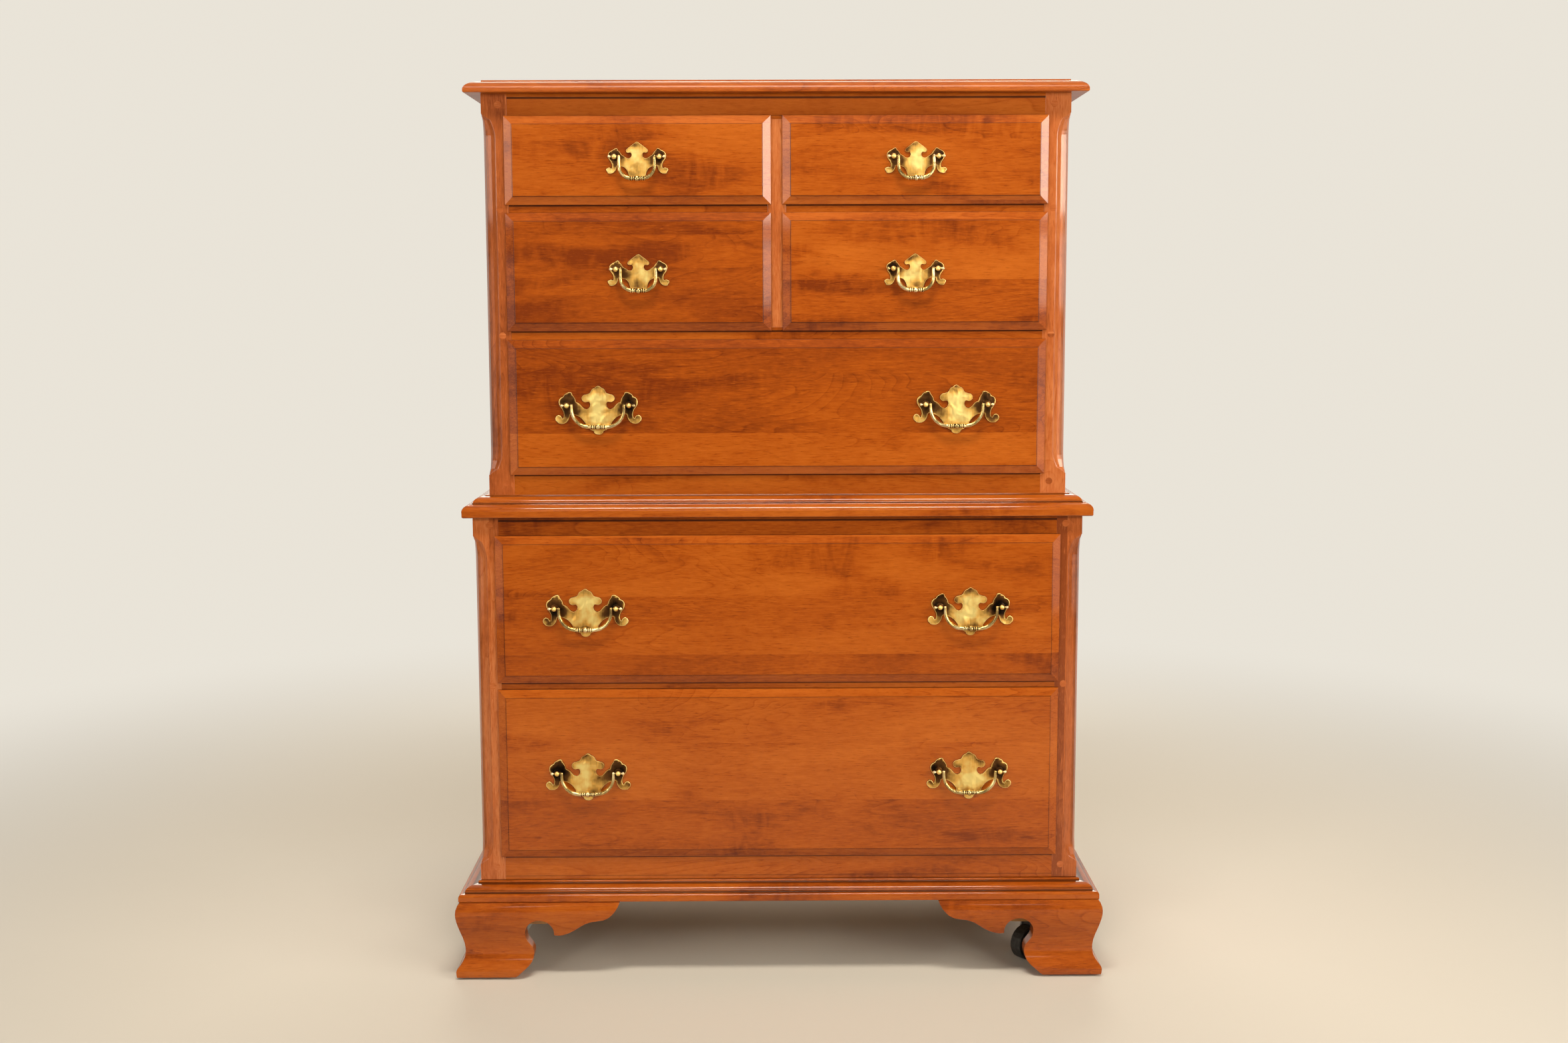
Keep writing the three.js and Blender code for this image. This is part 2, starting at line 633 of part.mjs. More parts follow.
// Drawers.
function drawerFront(x0, x1, z0, z1, front) {
  const face = inset => rectangle(x0 + inset, x1 - inset, z0 + inset, z1 - inset);
  const lipBack = front - runGap;
  const plug = face(lipLap + frontPlay);
  const round = quarter(4, true).map(([u, v]) => [thumbRun * u, lipBack - lipEdge - thumbRise * v]);
  const stations = [[0, lipBack], ...round, [thumbRun, lipBack - lipEdge - thumbRise - fieldStep]];
  return loft(
    [plug, plug, ...stations.map(([inset]) => face(inset))],
    [front + frontInside, lipBack, ...stations.map(([, y]) => y)], elevation,
  );
}

function drawerBox(x0, x1, z0, z1, front) {
  const y0 = front + frontInside + seat;
  const y1 = lowerDepth - backThick - boxTailGap;
  const left = x0 + lipLap + boxPlay;
  const right = x1 - lipLap - boxPlay;
  const low = z0 + lipLap + runGap;
  const high = z1 - lipLap - boxHeadroom;
  const inside = block(
    left + boxSide, right - boxSide, y0 + boxSide, y1 - boxSide, low + boxBottomUp + boxBottom, high + overrun,
  );
  const under = block(
    left + boxSide, right - boxSide, y0 + boxSide, y1 + overrun, low - overrun, low + boxBottomUp,
  );
  return geometryOf(less(solid(block(left, right, y0, y1, low, high)), [inside, under]));
}

// Moves each corner of an outline inwards, for the filed edge of a plate.
function insetOutline(outline, depth) {
  const count = outline.length;
  const turn = Math.sign(area(outline));
  return outline.map(([u, v], i) => {
    const [a, b] = [outline[(i + count - 1) % count], outline[(i + 1) % count]];
    const [inX, inY] = [u - a[0], v - a[1]];
    const [outX, outY] = [b[0] - u, b[1] - v];
    const [inLength, outLength] = [Math.hypot(inX, inY), Math.hypot(outX, outY)];
    const normal = [-(inY / inLength + outY / outLength) * turn, (inX / inLength + outX / outLength) * turn];
    const length = Math.hypot(...normal);
    return [u + (depth * normal[0]) / length, v + (depth * normal[1]) / length];
  });
}

// A ball-headed post through the plate, cross-bored for the bail's end, at x on the plate.
function plateSupport(x) {
  const ring = [
    [0, 0], [postFlange, 0], [postFlange, plateThick + postFlangeThick],
    [postRadius, plateThick + postFlangeThick], [postRadius, bailStand - ballRadius * 0.9],
    [ballRadius, bailStand - ballRadius * 0.4], [ballRadius, bailStand + ballRadius * 0.4],
    [ballRadius * 0.55, bailStand + ballRadius], [0, bailStand + ballRadius],
  ].map(([r, h]) => new THREE.Vector2(r, h));
  return new THREE.LatheGeometry(ring, 8).rotateX(Math.PI).translate(x, 0, 0);
}

// A rod along X, for bores across the posts.
function acrossRod(radius, from, to, y, sides) {
  const rod = new THREE.CylinderGeometry(radius, radius, to - from, sides);
  return rod.rotateZ(Math.PI / 2).translate((from + to) / 2, y, 0);
}

// Plate and posts, standing on a face at y = 0 and centred on the posts' line.
function pullPlate(bore, shares) {
  const half = bore / 2;
  const side = shares.map(([u, v]) => [u * half, v * half]);
  const other = side.slice(1, -1).map(([u, v]) => [-u, v]).reverse();
  const outline = [...side, ...other];
  const small = insetOutline(outline, plateBevel);
  const plate = loft([outline, small], [0, -plateThick], elevation);
  const body = joined([plate, plateSupport(-half), plateSupport(half)]);
  const far = half + ballRadius + overrun;
  return geometryOf(less(body, [acrossRod(bailPinRadius + bailClear, -far, far, -bailStand, 6)]));
}

// A bent rod: rings of the given radii square to a path that lies in a plane of constant Y.
function bentRod(stations, sides) {
  const outlines = stations.map(({ x, z, radius }, i) => {
    const a = stations[Math.max(i - 1, 0)];
    const b = stations[Math.min(i + 1, stations.length - 1)];
    const along = new THREE.Vector2(b.x - a.x, b.z - a.z).normalize();
    return Array.from({ length: sides }, (_, k) => {
      const turn = (2 * Math.PI * (k + 0.5)) / sides;
      const [across, deep] = [Math.cos(turn) * radius, Math.sin(turn) * radius];
      return [x - along.y * across, deep, z + along.x * across];
    });
  });
  const positions = outlines.flat(2);
  const indices = [];
  for (let k = 0; k + 1 < outlines.length; k += 1) {
    for (let i = 0; i < sides; i += 1) {
      const [a, b] = [k * sides + i, k * sides + ((i + 1) % sides)];
      indices.push(a, b, b + sides, a, b + sides, a + sides);
    }
  }
  const last = (outlines.length - 1) * sides;
  for (let i = 1; i + 1 < sides; i += 1) {
    indices.push(0, i + 1, i, last, last + i, last + i + 1);
  }
  return facingOut(positions, indices);
}

// The bail, its pins on the X axis: tip, pin through the post, bend, arm and turned grip.
function pullBail(bore, drop, shares) {
  const half = bore / 2;
  const inner = half - ballRadius - bailSideGap - bailWireRadius;
  const tipAt = half + bailTipOut;
  const path = [
    [inner, -bailBend / 2], [inner, -bailBend],
    ...shares.map(([u, v]) => [u * half, -v * drop]),
  ].map(([x, z]) => new THREE.Vector3(x, 0, z));
  const curve = new THREE.CatmullRomCurve3(path, false, 'centripetal');
  const bend = curve.getPoints(bailSteps);
  const grip = x => {
    const share = Math.abs(x) / half;
    const swell = Math.max(0, 1 - share / gripStartShare);
    return bailWireRadius + (bailGripRadius - bailWireRadius) * swell;
  };
  const gripFrom = gripShares[0][0] * half;
  const arm = bend.filter(({ x }) => x > gripFrom + bailWireRadius).map(({ x, z }) => ({ x, z, radius: grip(x) }));
  const turned = gripShares.map(([u, swell]) => ({ x: u * half, z: -drop, radius: bailGripRadius * swell }));
  const ends = [
    [bailTipRadius + bailClear, bailTipRadius * 0.5], [bailTipRadius * 0.5, bailTipRadius],
    [-bailTipRadius * 0.5, bailTipRadius], [-bailTipRadius, bailPinRadius],
  ].map(([out, radius]) => ({ x: tipAt + out, z: 0, radius }));
  const pin = [{ x: inner + bailWireRadius + bailClear, z: 0, radius: bailPinRadius }];
  const corner = [{ x: inner + bailWireRadius * 0.3, z: -bailWireRadius * 0.5, radius: bailWireRadius }];
  const side = [...ends, ...pin, ...corner, ...arm, ...turned];
  const other = side.slice(0, -1).reverse().map(({ x, z, radius }) => ({ x: -x, z, radius }));
  return bentRod([...side, ...other], 6);
}

const pullKinds = {
  large: {
    plate: pullPlate(largeBore, largePlateShares),
    bail: pullBail(largeBore, largeBailDrop, largeBailShares),
  },
  small: {
    plate: pullPlate(smallBore, smallPlateShares),
    bail: pullBail(smallBore, smallBailDrop, smallBailShares),
  },
};

// Where each pull's posts stand: above the middle of the drawer's face, so the pull looks centred,
// and out from the middle by a share of the drawer's width.
const pullRaise = 4;
const smallPullShare = 0.5;
const thirdPullShare = 0.666;
const lowerPullShare = 0.6815;

const halfRow = mullionWidth / 2 - lipLap;
const wideUpper = upperOpening + lipLap;
const wideLower = lowerOpening + lipLap;
const middle = (halfRow + wideUpper) * smallPullShare;
const [third, lower] = [wideUpper * thirdPullShare, wideLower * lowerPullShare];
const [firstRow, secondRow] = [{ z: firstFaceLow, face: firstFace }, { z: secondFaceLow, face: secondFace }];
const drawers = [
  { name: 'top_left', x: [-wideUpper, -halfRow], ...firstRow, pulls: [['', -middle, 'small']] },
  { name: 'top_right', x: [halfRow, wideUpper], ...firstRow, pulls: [['', middle, 'small']] },
  { name: 'second_left', x: [-wideUpper, -halfRow], ...secondRow, pulls: [['', -middle, 'small']] },
  { name: 'second_right', x: [halfRow, wideUpper], ...secondRow, pulls: [['', middle, 'small']] },
  { name: 'third', x: [-wideUpper, wideUpper], z: thirdFaceLow, face: thirdFace, at: third },
  { name: 'fourth', x: [-wideLower, wideLower], z: fourthFaceLow, face: fourthFace, at: lower, low: true },
  { name: 'bottom', x: [-wideLower, wideLower], z: bottomFaceLow, face: bottomFace, at: lower, low: true },
];

for (const { name, x, z, face, at, low, pulls } of drawers) {
  const front = low ? 0 : upperSetback;
  add(`drawer_${name}_front`, drawerFront(...x, z, z + face, front), maple);
  add(`drawer_${name}_box`, drawerBox(...x, z, z + face, front), pale);
  for (const [side, across, kind] of pulls ?? [['_left', -at, 'large'], ['_right', at, 'large']]) {
    const height = z + face / 2 + pullRaise;
    const plate = add(`pull_${name}${side}_plate`, pullKinds[kind].plate.clone(), brass);
    plate.position.set(across, front - fieldProud - seat, height);
    const bail = add(`pull_${name}${side}_bail`, pullKinds[kind].bail.clone(), brass);
    bail.position.set(across, front - fieldProud - seat - bailStand, height);
  }
}

export default group;
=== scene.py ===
import json
import math
import random
from functools import partial

import bmesh
import bpy
from mathutils import Matrix, Vector
from mathutils.geometry import delaunay_2d_cdt


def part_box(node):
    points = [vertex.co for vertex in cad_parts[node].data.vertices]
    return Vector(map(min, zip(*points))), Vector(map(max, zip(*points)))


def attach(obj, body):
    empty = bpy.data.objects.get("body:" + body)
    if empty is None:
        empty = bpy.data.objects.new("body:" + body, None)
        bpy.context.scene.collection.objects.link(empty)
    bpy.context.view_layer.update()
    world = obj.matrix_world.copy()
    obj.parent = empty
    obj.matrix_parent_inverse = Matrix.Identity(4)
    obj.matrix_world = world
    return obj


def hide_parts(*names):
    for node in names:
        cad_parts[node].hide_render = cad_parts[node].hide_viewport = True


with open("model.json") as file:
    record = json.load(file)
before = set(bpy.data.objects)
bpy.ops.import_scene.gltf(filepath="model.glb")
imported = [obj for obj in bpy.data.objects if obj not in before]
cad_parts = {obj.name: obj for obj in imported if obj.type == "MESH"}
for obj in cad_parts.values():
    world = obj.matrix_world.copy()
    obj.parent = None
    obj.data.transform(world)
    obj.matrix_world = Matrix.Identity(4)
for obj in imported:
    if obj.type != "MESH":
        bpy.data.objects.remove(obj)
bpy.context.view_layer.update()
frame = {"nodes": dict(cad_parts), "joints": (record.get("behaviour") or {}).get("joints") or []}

# All sizes are millimetres in the part's own frame: X to the right, Y to the wall, Z up.
MM = 0.001
SIDES = ((-1, "left"), (1, "right"))

# The camera, solved from the photograph's straight edges.
PHOTO_WIDE = 2357
FOCAL_PIXELS = 2734.4
CAMERA_AT = (-9.3, -2834.4, 997.4)
CAMERA_YAW, CAMERA_PITCH, CAMERA_ROLL = 0.401, 7.123, -0.171
SENSOR_WIDE = 36.0

# The room's tone, its strength where it is shown pale, and what is left of it elsewhere.
ROOM_TONE, ROOM_LIGHT, ROOM_DIM = "#F1EBDF", 0.93, 0.12
LAMP_TONE = "#FFF4E3"
FLOOR_HALF = 26000.0

# Boards, their eased edges and the gaps at their joints.
ARRIS = 0.45
JOINT_GAP, SIDE_FIT, BACK_FIT = 0.25, 0.2, 0.3
SIDE_THICK = 19.0
BACK_THICK = 8.0
POST_DEEP = 38.0
RAIL_DEEP = 22.0
CROSS_RAIL_END = 58.0
RUNNER_WIDE, RUNNER_THICK, GUIDE_HIGH = 60.0, 20.0, 20.0
PANEL_THICK, PANEL_TONGUE = 6.0, 4.0
WAIST_BAND, WAIST_THICK, OVOLO_HIGH = 60.0, 19.0, 11.4
BASE_WIDE, BASE_NOSE = 89.0, 11.4
BLOCK_LOW = 68.0

# The top board's thumbnail edge.
TOP_OVERHANG = 22.5
TOP_NOSE_LOW = 4.0
TOP_FIELD_IN = 23.0
TOP_STEP = 2.4

# The posts' chamfer: its plan where it runs full, the length of its tongue, and the plugs beside it.
CHAMFER_WIDE, CHAMFER_ARRIS = 18.0, 4.6
CHAMFER_MID, CHAMFER_DEEP = 8.5, 19.0
TONGUE_RUN = 34.0
# The chamfer stops so far from the case's top, the waist's top and the lower case's foot. Past its
# stops it stays open by a hair, as a share, so that every ring keeps its points.
STOP_HIGH, UPPER_STOP, LOWER_STOP = 27.0, 28.0, 23.0
CHAMFER_HAIR = 0.012
PLUG_RADIUS = 5.2

# Drawers: the lip over the case, the bevel with the step up to the field, and the box.
LIP_LAP, LIP_EDGE, LIP_INSIDE = 5.0, 2.5, 6.5
THUMB_RISE, THUMB_RUN, THUMB_STEP = 5.2, 12.0, 1.5
BOX_WALL, BOTTOM_UP, BOTTOM_THICK, BOTTOM_TONGUE = 12.0, 8.0, 6.0, 3.0
TAIL_PITCH, TAIL_PROUD = 32.0, 0.05
LARGE_BORE, SMALL_BORE = 88.9, 63.5


# Small tools for shapes.
def span(node):
    """A CAD node's lowest and highest corners."""
    low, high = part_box(node)
    return Vector(low) / MM, Vector(high) / MM


def sided(sign, near, far):
    """A range of x on the left or the right, from two distances to the middle."""
    return sorted((sign * near, sign * far))


def quarter(steps, hollow=False):
    """Points from (0, 0) to (1, 1) on a quarter round that leaves level, or upright where hollow."""
    turns = [math.pi / 2 * i / steps for i in range(steps + 1)]
    if hollow:
        return [(1 - math.cos(t), math.sin(t)) for t in turns]
    return [(math.sin(t), 1 - math.cos(t)) for t in turns]


def circle(radius, sides):
    turns = [2 * math.pi * k / sides for k in range(sides)]
    return [(radius * math.cos(turn), radius * math.sin(turn)) for turn in turns]


def plan(xs, ys, z):
    """The corners of an upright board at one height."""
    return [(xs[0], ys[0], z), (xs[1], ys[0], z), (xs[1], ys[1], z), (xs[0], ys[1], z)]


def loft_faces(rings, count, closed=True):
    """Faces that join rings of count points each, in order, and close both ends."""
    faces = []
    for k in range(rings - 1):
        for i in range(count):
            a, b = k * count + i, k * count + (i + 1) % count
            faces.append((a, b, b + count, a + count))
    if closed:
        faces.append(tuple(reversed(range(count))))
        faces.append(tuple(range((rings - 1) * count, rings * count)))
    return faces


def new_piece(name, verts, faces):
    mesh = bpy.data.meshes.new(name)
    mesh.from_pydata([Vector(v) * MM for v in verts], [], faces)
    piece = bpy.data.objects.new(name, mesh)
    bpy.context.scene.collection.objects.link(piece)
    return piece


def clean(piece, merge=1e-6):
    """Merges points that are nearer than merge, in metres, and turns the faces outward."""
    shape = bmesh.new()
    shape.from_mesh(piece.data)
    bmesh.ops.remove_doubles(shape, verts=shape.verts, dist=merge)
    bmesh.ops.recalc_face_normals(shape, faces=shape.faces)
    shape.to_mesh(piece.data)
    shape.free()
    return piece


def solid(name, rings):
    verts = [point for ring in rings for point in ring]
    return clean(new_piece(name, verts, loft_faces(len(rings), len(rings[0]))))


def bake(piece):
    """Replaces a piece's mesh with the evaluated one and takes its modifiers off."""
    bpy.context.view_layer.update()
    evaluated = piece.evaluated_get(bpy.context.evaluated_depsgraph_get())
    mesh = bpy.data.meshes.new_from_object(evaluated)
    piece.modifiers.clear()
    old, piece.data = piece.data, mesh
    bpy.data.meshes.remove(old)
    mesh.name = piece.name
    return piece


def settle(piece, arris, angle=28, sharp=40):
    """Eases the arrises, or with none keeps edges over sharp degrees sharp, and keeps broad faces flat."""
    piece.data.shade_smooth()
    if not arris:
        piece.data.set_sharp_from_angle(angle=math.radians(sharp))
    else:
        bevel = piece.modifiers.new("arris", "BEVEL")
        bevel.width = arris * MM
        bevel.segments = 2
        bevel.limit_method = "ANGLE"
        bevel.angle_limit = math.radians(angle)
        bevel.use_clamp_overlap = True
    weighted = piece.modifiers.new("shading", "WEIGHTED_NORMAL")
    weighted.keep_sharp = True
    return bake(piece)


def mark(piece, name, values, kind="FLOAT"):
    """Stores a value for each point of a piece; vectors come one after the other in a flat list."""
    layer = piece.data.attributes.new(name, kind, "POINT")
    layer.data.foreach_set("vector" if kind == "FLOAT_VECTOR" else "value", values)
    return piece


board_seed = random.Random(71)


def grain_along(piece, axis):
    """Gives a piece its own tone and place in the timber: the grain's x runs along the fibres."""
    order = {"x": (0, 1, 2), "y": (1, 0, 2), "z": (2, 1, 0)}[axis]
    offset = [board_seed.uniform(2, 40) for _ in range(3)]
    points = piece.data.vertices
    mark(piece, "grain", [p.co[order[k]] + offset[k] for p in points for k in range(3)], "FLOAT_VECTOR")
    return mark(piece, "tone", [board_seed.random()] * len(points))


def glaze(piece, deepest):
    """Marks where stain and toner lie thick: deepest gives 0 to 1 for a point in mm."""
    return mark(piece, "glaze", [deepest(vertex.co / MM) for vertex in piece.data.vertices])


def loft(name, rings, axis, arris=ARRIS, sharp=40):
    return grain_along(settle(solid(name, rings), arris, sharp=sharp), axis)


def board(name, xs, ys, zs, axis, arris=ARRIS):
    """A sawn board, its arrises eased."""
    return loft(name, [plan(xs, ys, z) for z in zs], axis, arris)


def rail(name, xs, ys, zs, toned=0.0):
    """A rail along x whose face is darker where the drawer lips above and below meet it."""
    low, high = zs[0] + LIP_LAP, zs[1] - LIP_LAP
    shades = [
        (zs[0], 0.0), (low - 1.0, 0.0), (low + 0.2, 0.55), (low + 1.1, 0.0), (high - 2.6, 0.0),
        (high - 1.4, 0.85), (high + 0.4, 0.85), (high + 1.2, 0.0), (zs[1], 0.0),
    ]
    strip = loft(name, [plan(xs, ys, z) for z, _ in shades], "x", 0.2)
    return glaze(strip, lambda p: max(toned, *(dark for z, dark in shades if abs(p.z - z) < 0.3)))


def joined(name, pieces):
    """Makes one piece of several that keep their own attributes."""
    with bpy.context.temp_override(active_object=pieces[0], selected_editable_objects=pieces):
        bpy.ops.object.join()
    pieces[0].name = pieces[0].data.name = name
    return pieces[0]


def dress(piece, finish, *nodes, body="case"):
    """Gives a piece its finish (material and slot), its body and the CAD nodes it stands for."""
    piece.data.materials.clear()
    piece.data.materials.append(finish[0])
    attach(piece, body)
    if nodes:
        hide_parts(*nodes)


# Materials.
def srgb(code):
    """An sRGB hex colour as linear RGBA."""
    channels = [int(code[i:i + 2], 16) / 255 for i in (1, 3, 5)]
    linear = [c / 12.92 if c <= 0.04045 else ((c + 0.055) / 1.055) ** 2.4 for c in channels]
    return (*linear, 1.0)


def add_node(tree, kind, links=None, stops=None, out=0, **settings):
    """Adds a node and gives one of its outputs: settings are its properties, links its inputs by
    name or number, and stops a ramp's places and colours."""
    node = tree.nodes.new(kind)
    for key, value in settings.items():
        setattr(node, key, value)
    for key, value in (links or {}).items():
        if isinstance(value, bpy.types.NodeSocket):
            tree.links.new(value, node.inputs[key])
        else:
            node.inputs[key].default_value = value
    for k, (place, colour) in enumerate(stops or []):
        elements = node.color_ramp.elements
        element = elements[k] if k < 2 else elements.new(place)
        element.position = place
        element.color = srgb(colour) if isinstance(colour, str) else (colour, colour, colour, 1.0)
    return node.outputs[out] if node.outputs else node


MATH, RAMP, NOISE, MIX, MAPPING, BUMP, ATTRIBUTE, COORDINATE, SURFACE, RANGE, COMBINE, SEPARATE = (
    f"ShaderNode{kind}" for kind in (
        "Math", "ValToRGB", "TexNoise", "Mix", "Mapping", "Bump", "Attribute", "TexCoord",
        "BsdfPrincipled", "MapRange", "CombineXYZ", "SeparateXYZ",
    )
)
TRANSFORM = "GeometryNodeTransform"


def new_material(name, look, *values):
    """A material whose surface look(add, *values) builds."""
    material = bpy.data.materials.new(name)
    material.use_nodes = True
    material.node_tree.nodes.clear()
    add = partial(add_node, material.node_tree)
    add("ShaderNodeOutputMaterial", {"Surface": look(add, *values)})
    return material


def stained_maple(add, dark, middle, light, strength=1.0, coat=0.7, rough=0.42, gloss=0.07):
    """Hard maple, planed, stained and lacquered: even and fine, with short pores and flecks, soft
    clouds and curl where the stain went in deeper, faint cathedral lines, and staves glued edge to
    edge, all under a clear coat that mirrors the lamps."""
    grain = add(ATTRIBUTE, out="Vector", attribute_name="grain")
    tone = add(ATTRIBUTE, out="Fac", attribute_name="tone")
    thick = add(ATTRIBUTE, out="Fac", attribute_name="glaze")
    # Staves about 85 mm wide, each from another place in the log.
    across = add(SEPARATE, {"Vector": grain}, out="Z")
    count = add(MATH, {0: across, 1: 11.7}, operation="MULTIPLY")
    stave = add(MATH, {0: count}, operation="FLOOR")
    shade = add("ShaderNodeTexWhiteNoise", {"W": stave}, noise_dimensions="1D")
    moved = add(COMBINE, {
        "X": add(MATH, {0: shade, 1: 3.7}, operation="MULTIPLY"),
        "Y": add(MATH, {0: shade, 1: 1.3}, operation="MULTIPLY"),
    })
    log = add("ShaderNodeVectorMath", {0: grain, 1: moved}, operation="ADD")
    # Turns to the metre along, through and across the board, then detail, roughness, distortion.
    seen = {}
    for key, scale, detail, coarse, bend in (
        ("clouds", (4.0, 12.0, 14.0), 3.0, 0.5, 0.5),
        ("patches", (3.4, 11.0, 13.0), 3.0, 0.5, 0.7),
        ("curl", (30.0, 8.0, 11.0), 3.0, 0.55, 1.6),
        ("streaks", (24.0, 430.0, 470.0), 3.0, 0.6, 0.0),
        ("flecks", (60.0, 150.0, 170.0), 4.0, 0.65, 0.3),
        ("pores", (70.0, 1000.0, 1100.0), 2.0, 0.6, 0.0),
        ("figure", (2.4, 8.0, 13.0), 2.0, 0.4, 0.7),
        ("places", (3.1, 9.0, 11.0), 1.0, 0.5, 0.0),
    ):
        seen[key] = add(NOISE, {
            "Vector": add(MAPPING, {"Vector": log, "Scale": scale}),
            "Scale": 1.0, "Detail": detail, "Roughness": coarse, "Distortion": bend,
        })
    # Growth rings cut slantwise: a thin dark line that fades on one side, only here and there.
    rings = add(MATH, {0: seen["figure"], 1: 26.0}, operation="MULTIPLY")
    rings = add(MATH, {0: rings}, operation="FRACT")
    rings = add(RAMP, {"Fac": rings}, [(0.0, 0.0), (0.1, 0.36), (0.5, 0.5), (0.96, 0.58), (1.0, 0.2)])
    flat_sawn = add(RAMP, {"Fac": seen["places"]}, [(0.46, 0.12), (0.62, 1.0)])
    rings = add(MIX, {0: flat_sawn, 6: (0.5, 0.5, 0.5, 1.0), 7: rings}, out=2, data_type="RGBA")
    # Patches where the stain bit, with curl across the fibres inside them.
    bitten = add(RAMP, {"Fac": seen["patches"]}, [(0.52, 0.0), (0.66, 1.0)])
    wave = add(MATH, {0: seen["curl"], 1: 1.7, 2: -1.4}, operation="MULTIPLY_ADD")
    bitten = add(MATH, {0: bitten, 1: wave}, operation="MULTIPLY")
    rare = add(MATH, {0: shade, 1: 4.0}, operation="POWER")
    # Each part's weight in the colour, and its value at rest, where it leaves the middle colour.
    parts = [
        (seen["clouds"], 0.5 * strength, 0.5), (seen["streaks"], 0.24, 0.5),
        (seen["pores"], 0.26, 0.5), (seen["flecks"], 0.3 * strength, 0.5),
        (rings, 0.3 * strength, 0.5), (bitten, 0.34 * strength, -0.05),
        (rare, -0.34 * strength, 0.2), (tone, 0.1 * strength, 0.5),
    ]
    mix = 0.5 - sum(weight * rest for _, weight, rest in parts)
    for value, weight, _ in parts:
        mix = add(MATH, {0: value, 1: weight, 2: mix}, operation="MULTIPLY_ADD")
    colour = add(RAMP, {"Fac": mix}, [(0.22, dark), (0.72, light), (0.5, middle)])
    # Pores: dark dashes a few tenths of a millimetre wide, and a few pale ones. Then the glaze.
    for value, stops, tint, way in (
        (seen["pores"], [(0.3, 0.36), (0.38, 0.0)], dark, "MULTIPLY"),
        (seen["pores"], [(0.63, 0.0), (0.71, 0.5)], light, "MIX"),
        (thick, None, "#1E0A02", "MIX"),
    ):
        share = add(RAMP, {"Fac": value}, stops) if stops else value
        colour = add(MIX, {0: share, 6: colour, 7: srgb(tint)}, out=2, data_type="RGBA", blend_type=way)
    height = add(MATH, {0: seen["pores"], 1: 0.8, 2: seen["streaks"]}, operation="MULTIPLY_ADD")
    return add(SURFACE, {
        "Base Color": colour, "IOR": 1.5, "Specular IOR Level": 0.04,
        "Roughness": add(MATH, {0: seen["clouds"], 1: -0.1, 2: rough + 0.05}, operation="MULTIPLY_ADD"),
        "Normal": add(BUMP, {"Height": height, "Strength": 0.4, "Distance": 0.0003}),
        "Coat Weight": coat, "Coat Roughness": gloss,
    })


def sanded_ply(add):
    """Birch plywood, sanded and bare: pale and matt, with the broad waves of peeled veneer."""
    grain = add(ATTRIBUTE, out="Vector", attribute_name="grain")
    waves = add("ShaderNodeTexWave", {
        "Vector": add(MAPPING, {"Vector": grain, "Scale": (0.5, 14.0, 14.0)}),
        "Scale": 0.8, "Distortion": 9.0, "Detail": 3.0, "Detail Scale": 1.0, "Detail Roughness": 0.5,
    }, out="Fac", bands_direction="DIAGONAL")
    fine = add(MAPPING, {"Vector": grain, "Scale": (60.0, 1200.0, 1200.0)})
    fibres = add(NOISE, {"Vector": fine, "Scale": 1.0, "Detail": 3.0})
    mix = add(MATH, {0: fibres, 1: 0.5}, operation="MULTIPLY")
    mix = add(MATH, {0: waves, 1: 0.45, 2: mix}, operation="MULTIPLY_ADD")
    return add(SURFACE, {
        "Base Color": add(RAMP, {"Fac": mix}, [(0.1, "#BE935E"), (0.9, "#D3AE7B"), (0.5, "#C9A06C")]),
        "Normal": add(BUMP, {"Height": fibres, "Strength": 0.2, "Distance": 0.0005}),
        "Roughness": 0.62,
    })


def antique_brass(add, rough, gold, tan, brown):
    """Cast brass, darkened in a bath and rubbed back: gold on rims and high places, brown-black
    round the posts and in the hollows, with fine upright brushing."""
    place = add(COORDINATE, out="Object")
    patina = add(ATTRIBUTE, out="Fac", attribute_name="patina")
    lines = add(MAPPING, {"Vector": place, "Scale": (1500.0, 1500.0, 60.0)})
    brushed = add(NOISE, {"Vector": lines, "Scale": 1.0, "Detail": 2.0})
    cloud = add(NOISE, {"Vector": place, "Scale": 36.0, "Detail": 3.0, "Roughness": 0.55})
    dark = add(MATH, {0: cloud, 1: 1.5, 2: -0.82}, operation="MULTIPLY_ADD")
    dark = add(MATH, {0: brushed, 1: 0.24, 2: dark}, operation="MULTIPLY_ADD")
    dark = add(MATH, {0: dark, 1: patina}, operation="ADD")
    # Soft hollows left by filing and rubbing, about 14 mm apart, bend what the plate mirrors.
    rubbed = add(NOISE, {"Vector": place, "Scale": 70.0, "Detail": 1.0, "Distortion": 0.4})
    hollows = add(BUMP, {"Height": rubbed, "Strength": 1.0, "Distance": 0.0018})
    return add(SURFACE, {
        "Base Color": add(RAMP, {"Fac": dark}, [(0.0, gold), (1.0, "#221A14"), (0.26, tan), (0.58, brown)]),
        "Metallic": 1.0,
        "Roughness": add(MATH, {0: dark, 1: -0.1, 2: rough}, operation="MULTIPLY_ADD"),
        "Normal": add(BUMP, {"Height": brushed, "Strength": 0.12, "Distance": 0.0003, "Normal": hollows}),
    })


def dusty(add, scale, dark, light, metallic, rough, relief):
    """Plated steel or moulded rubber under a floor's dust: mottled at scale turns to the metre."""
    place = add(COORDINATE, out="Object")
    mottle = add(NOISE, {"Vector": place, "Scale": scale, "Detail": 4.0, "Roughness": 0.6})
    return add(SURFACE, {
        "Base Color": add(RAMP, {"Fac": mottle}, [(0.32, dark), (0.72, light)]),
        "Metallic": metallic,
        "Roughness": add(MATH, {0: mottle, 1: 0.2, 2: rough}, operation="MULTIPLY_ADD"),
        "Normal": add(BUMP, {"Height": mottle, "Strength": relief, "Distance": 0.0004}),
    })


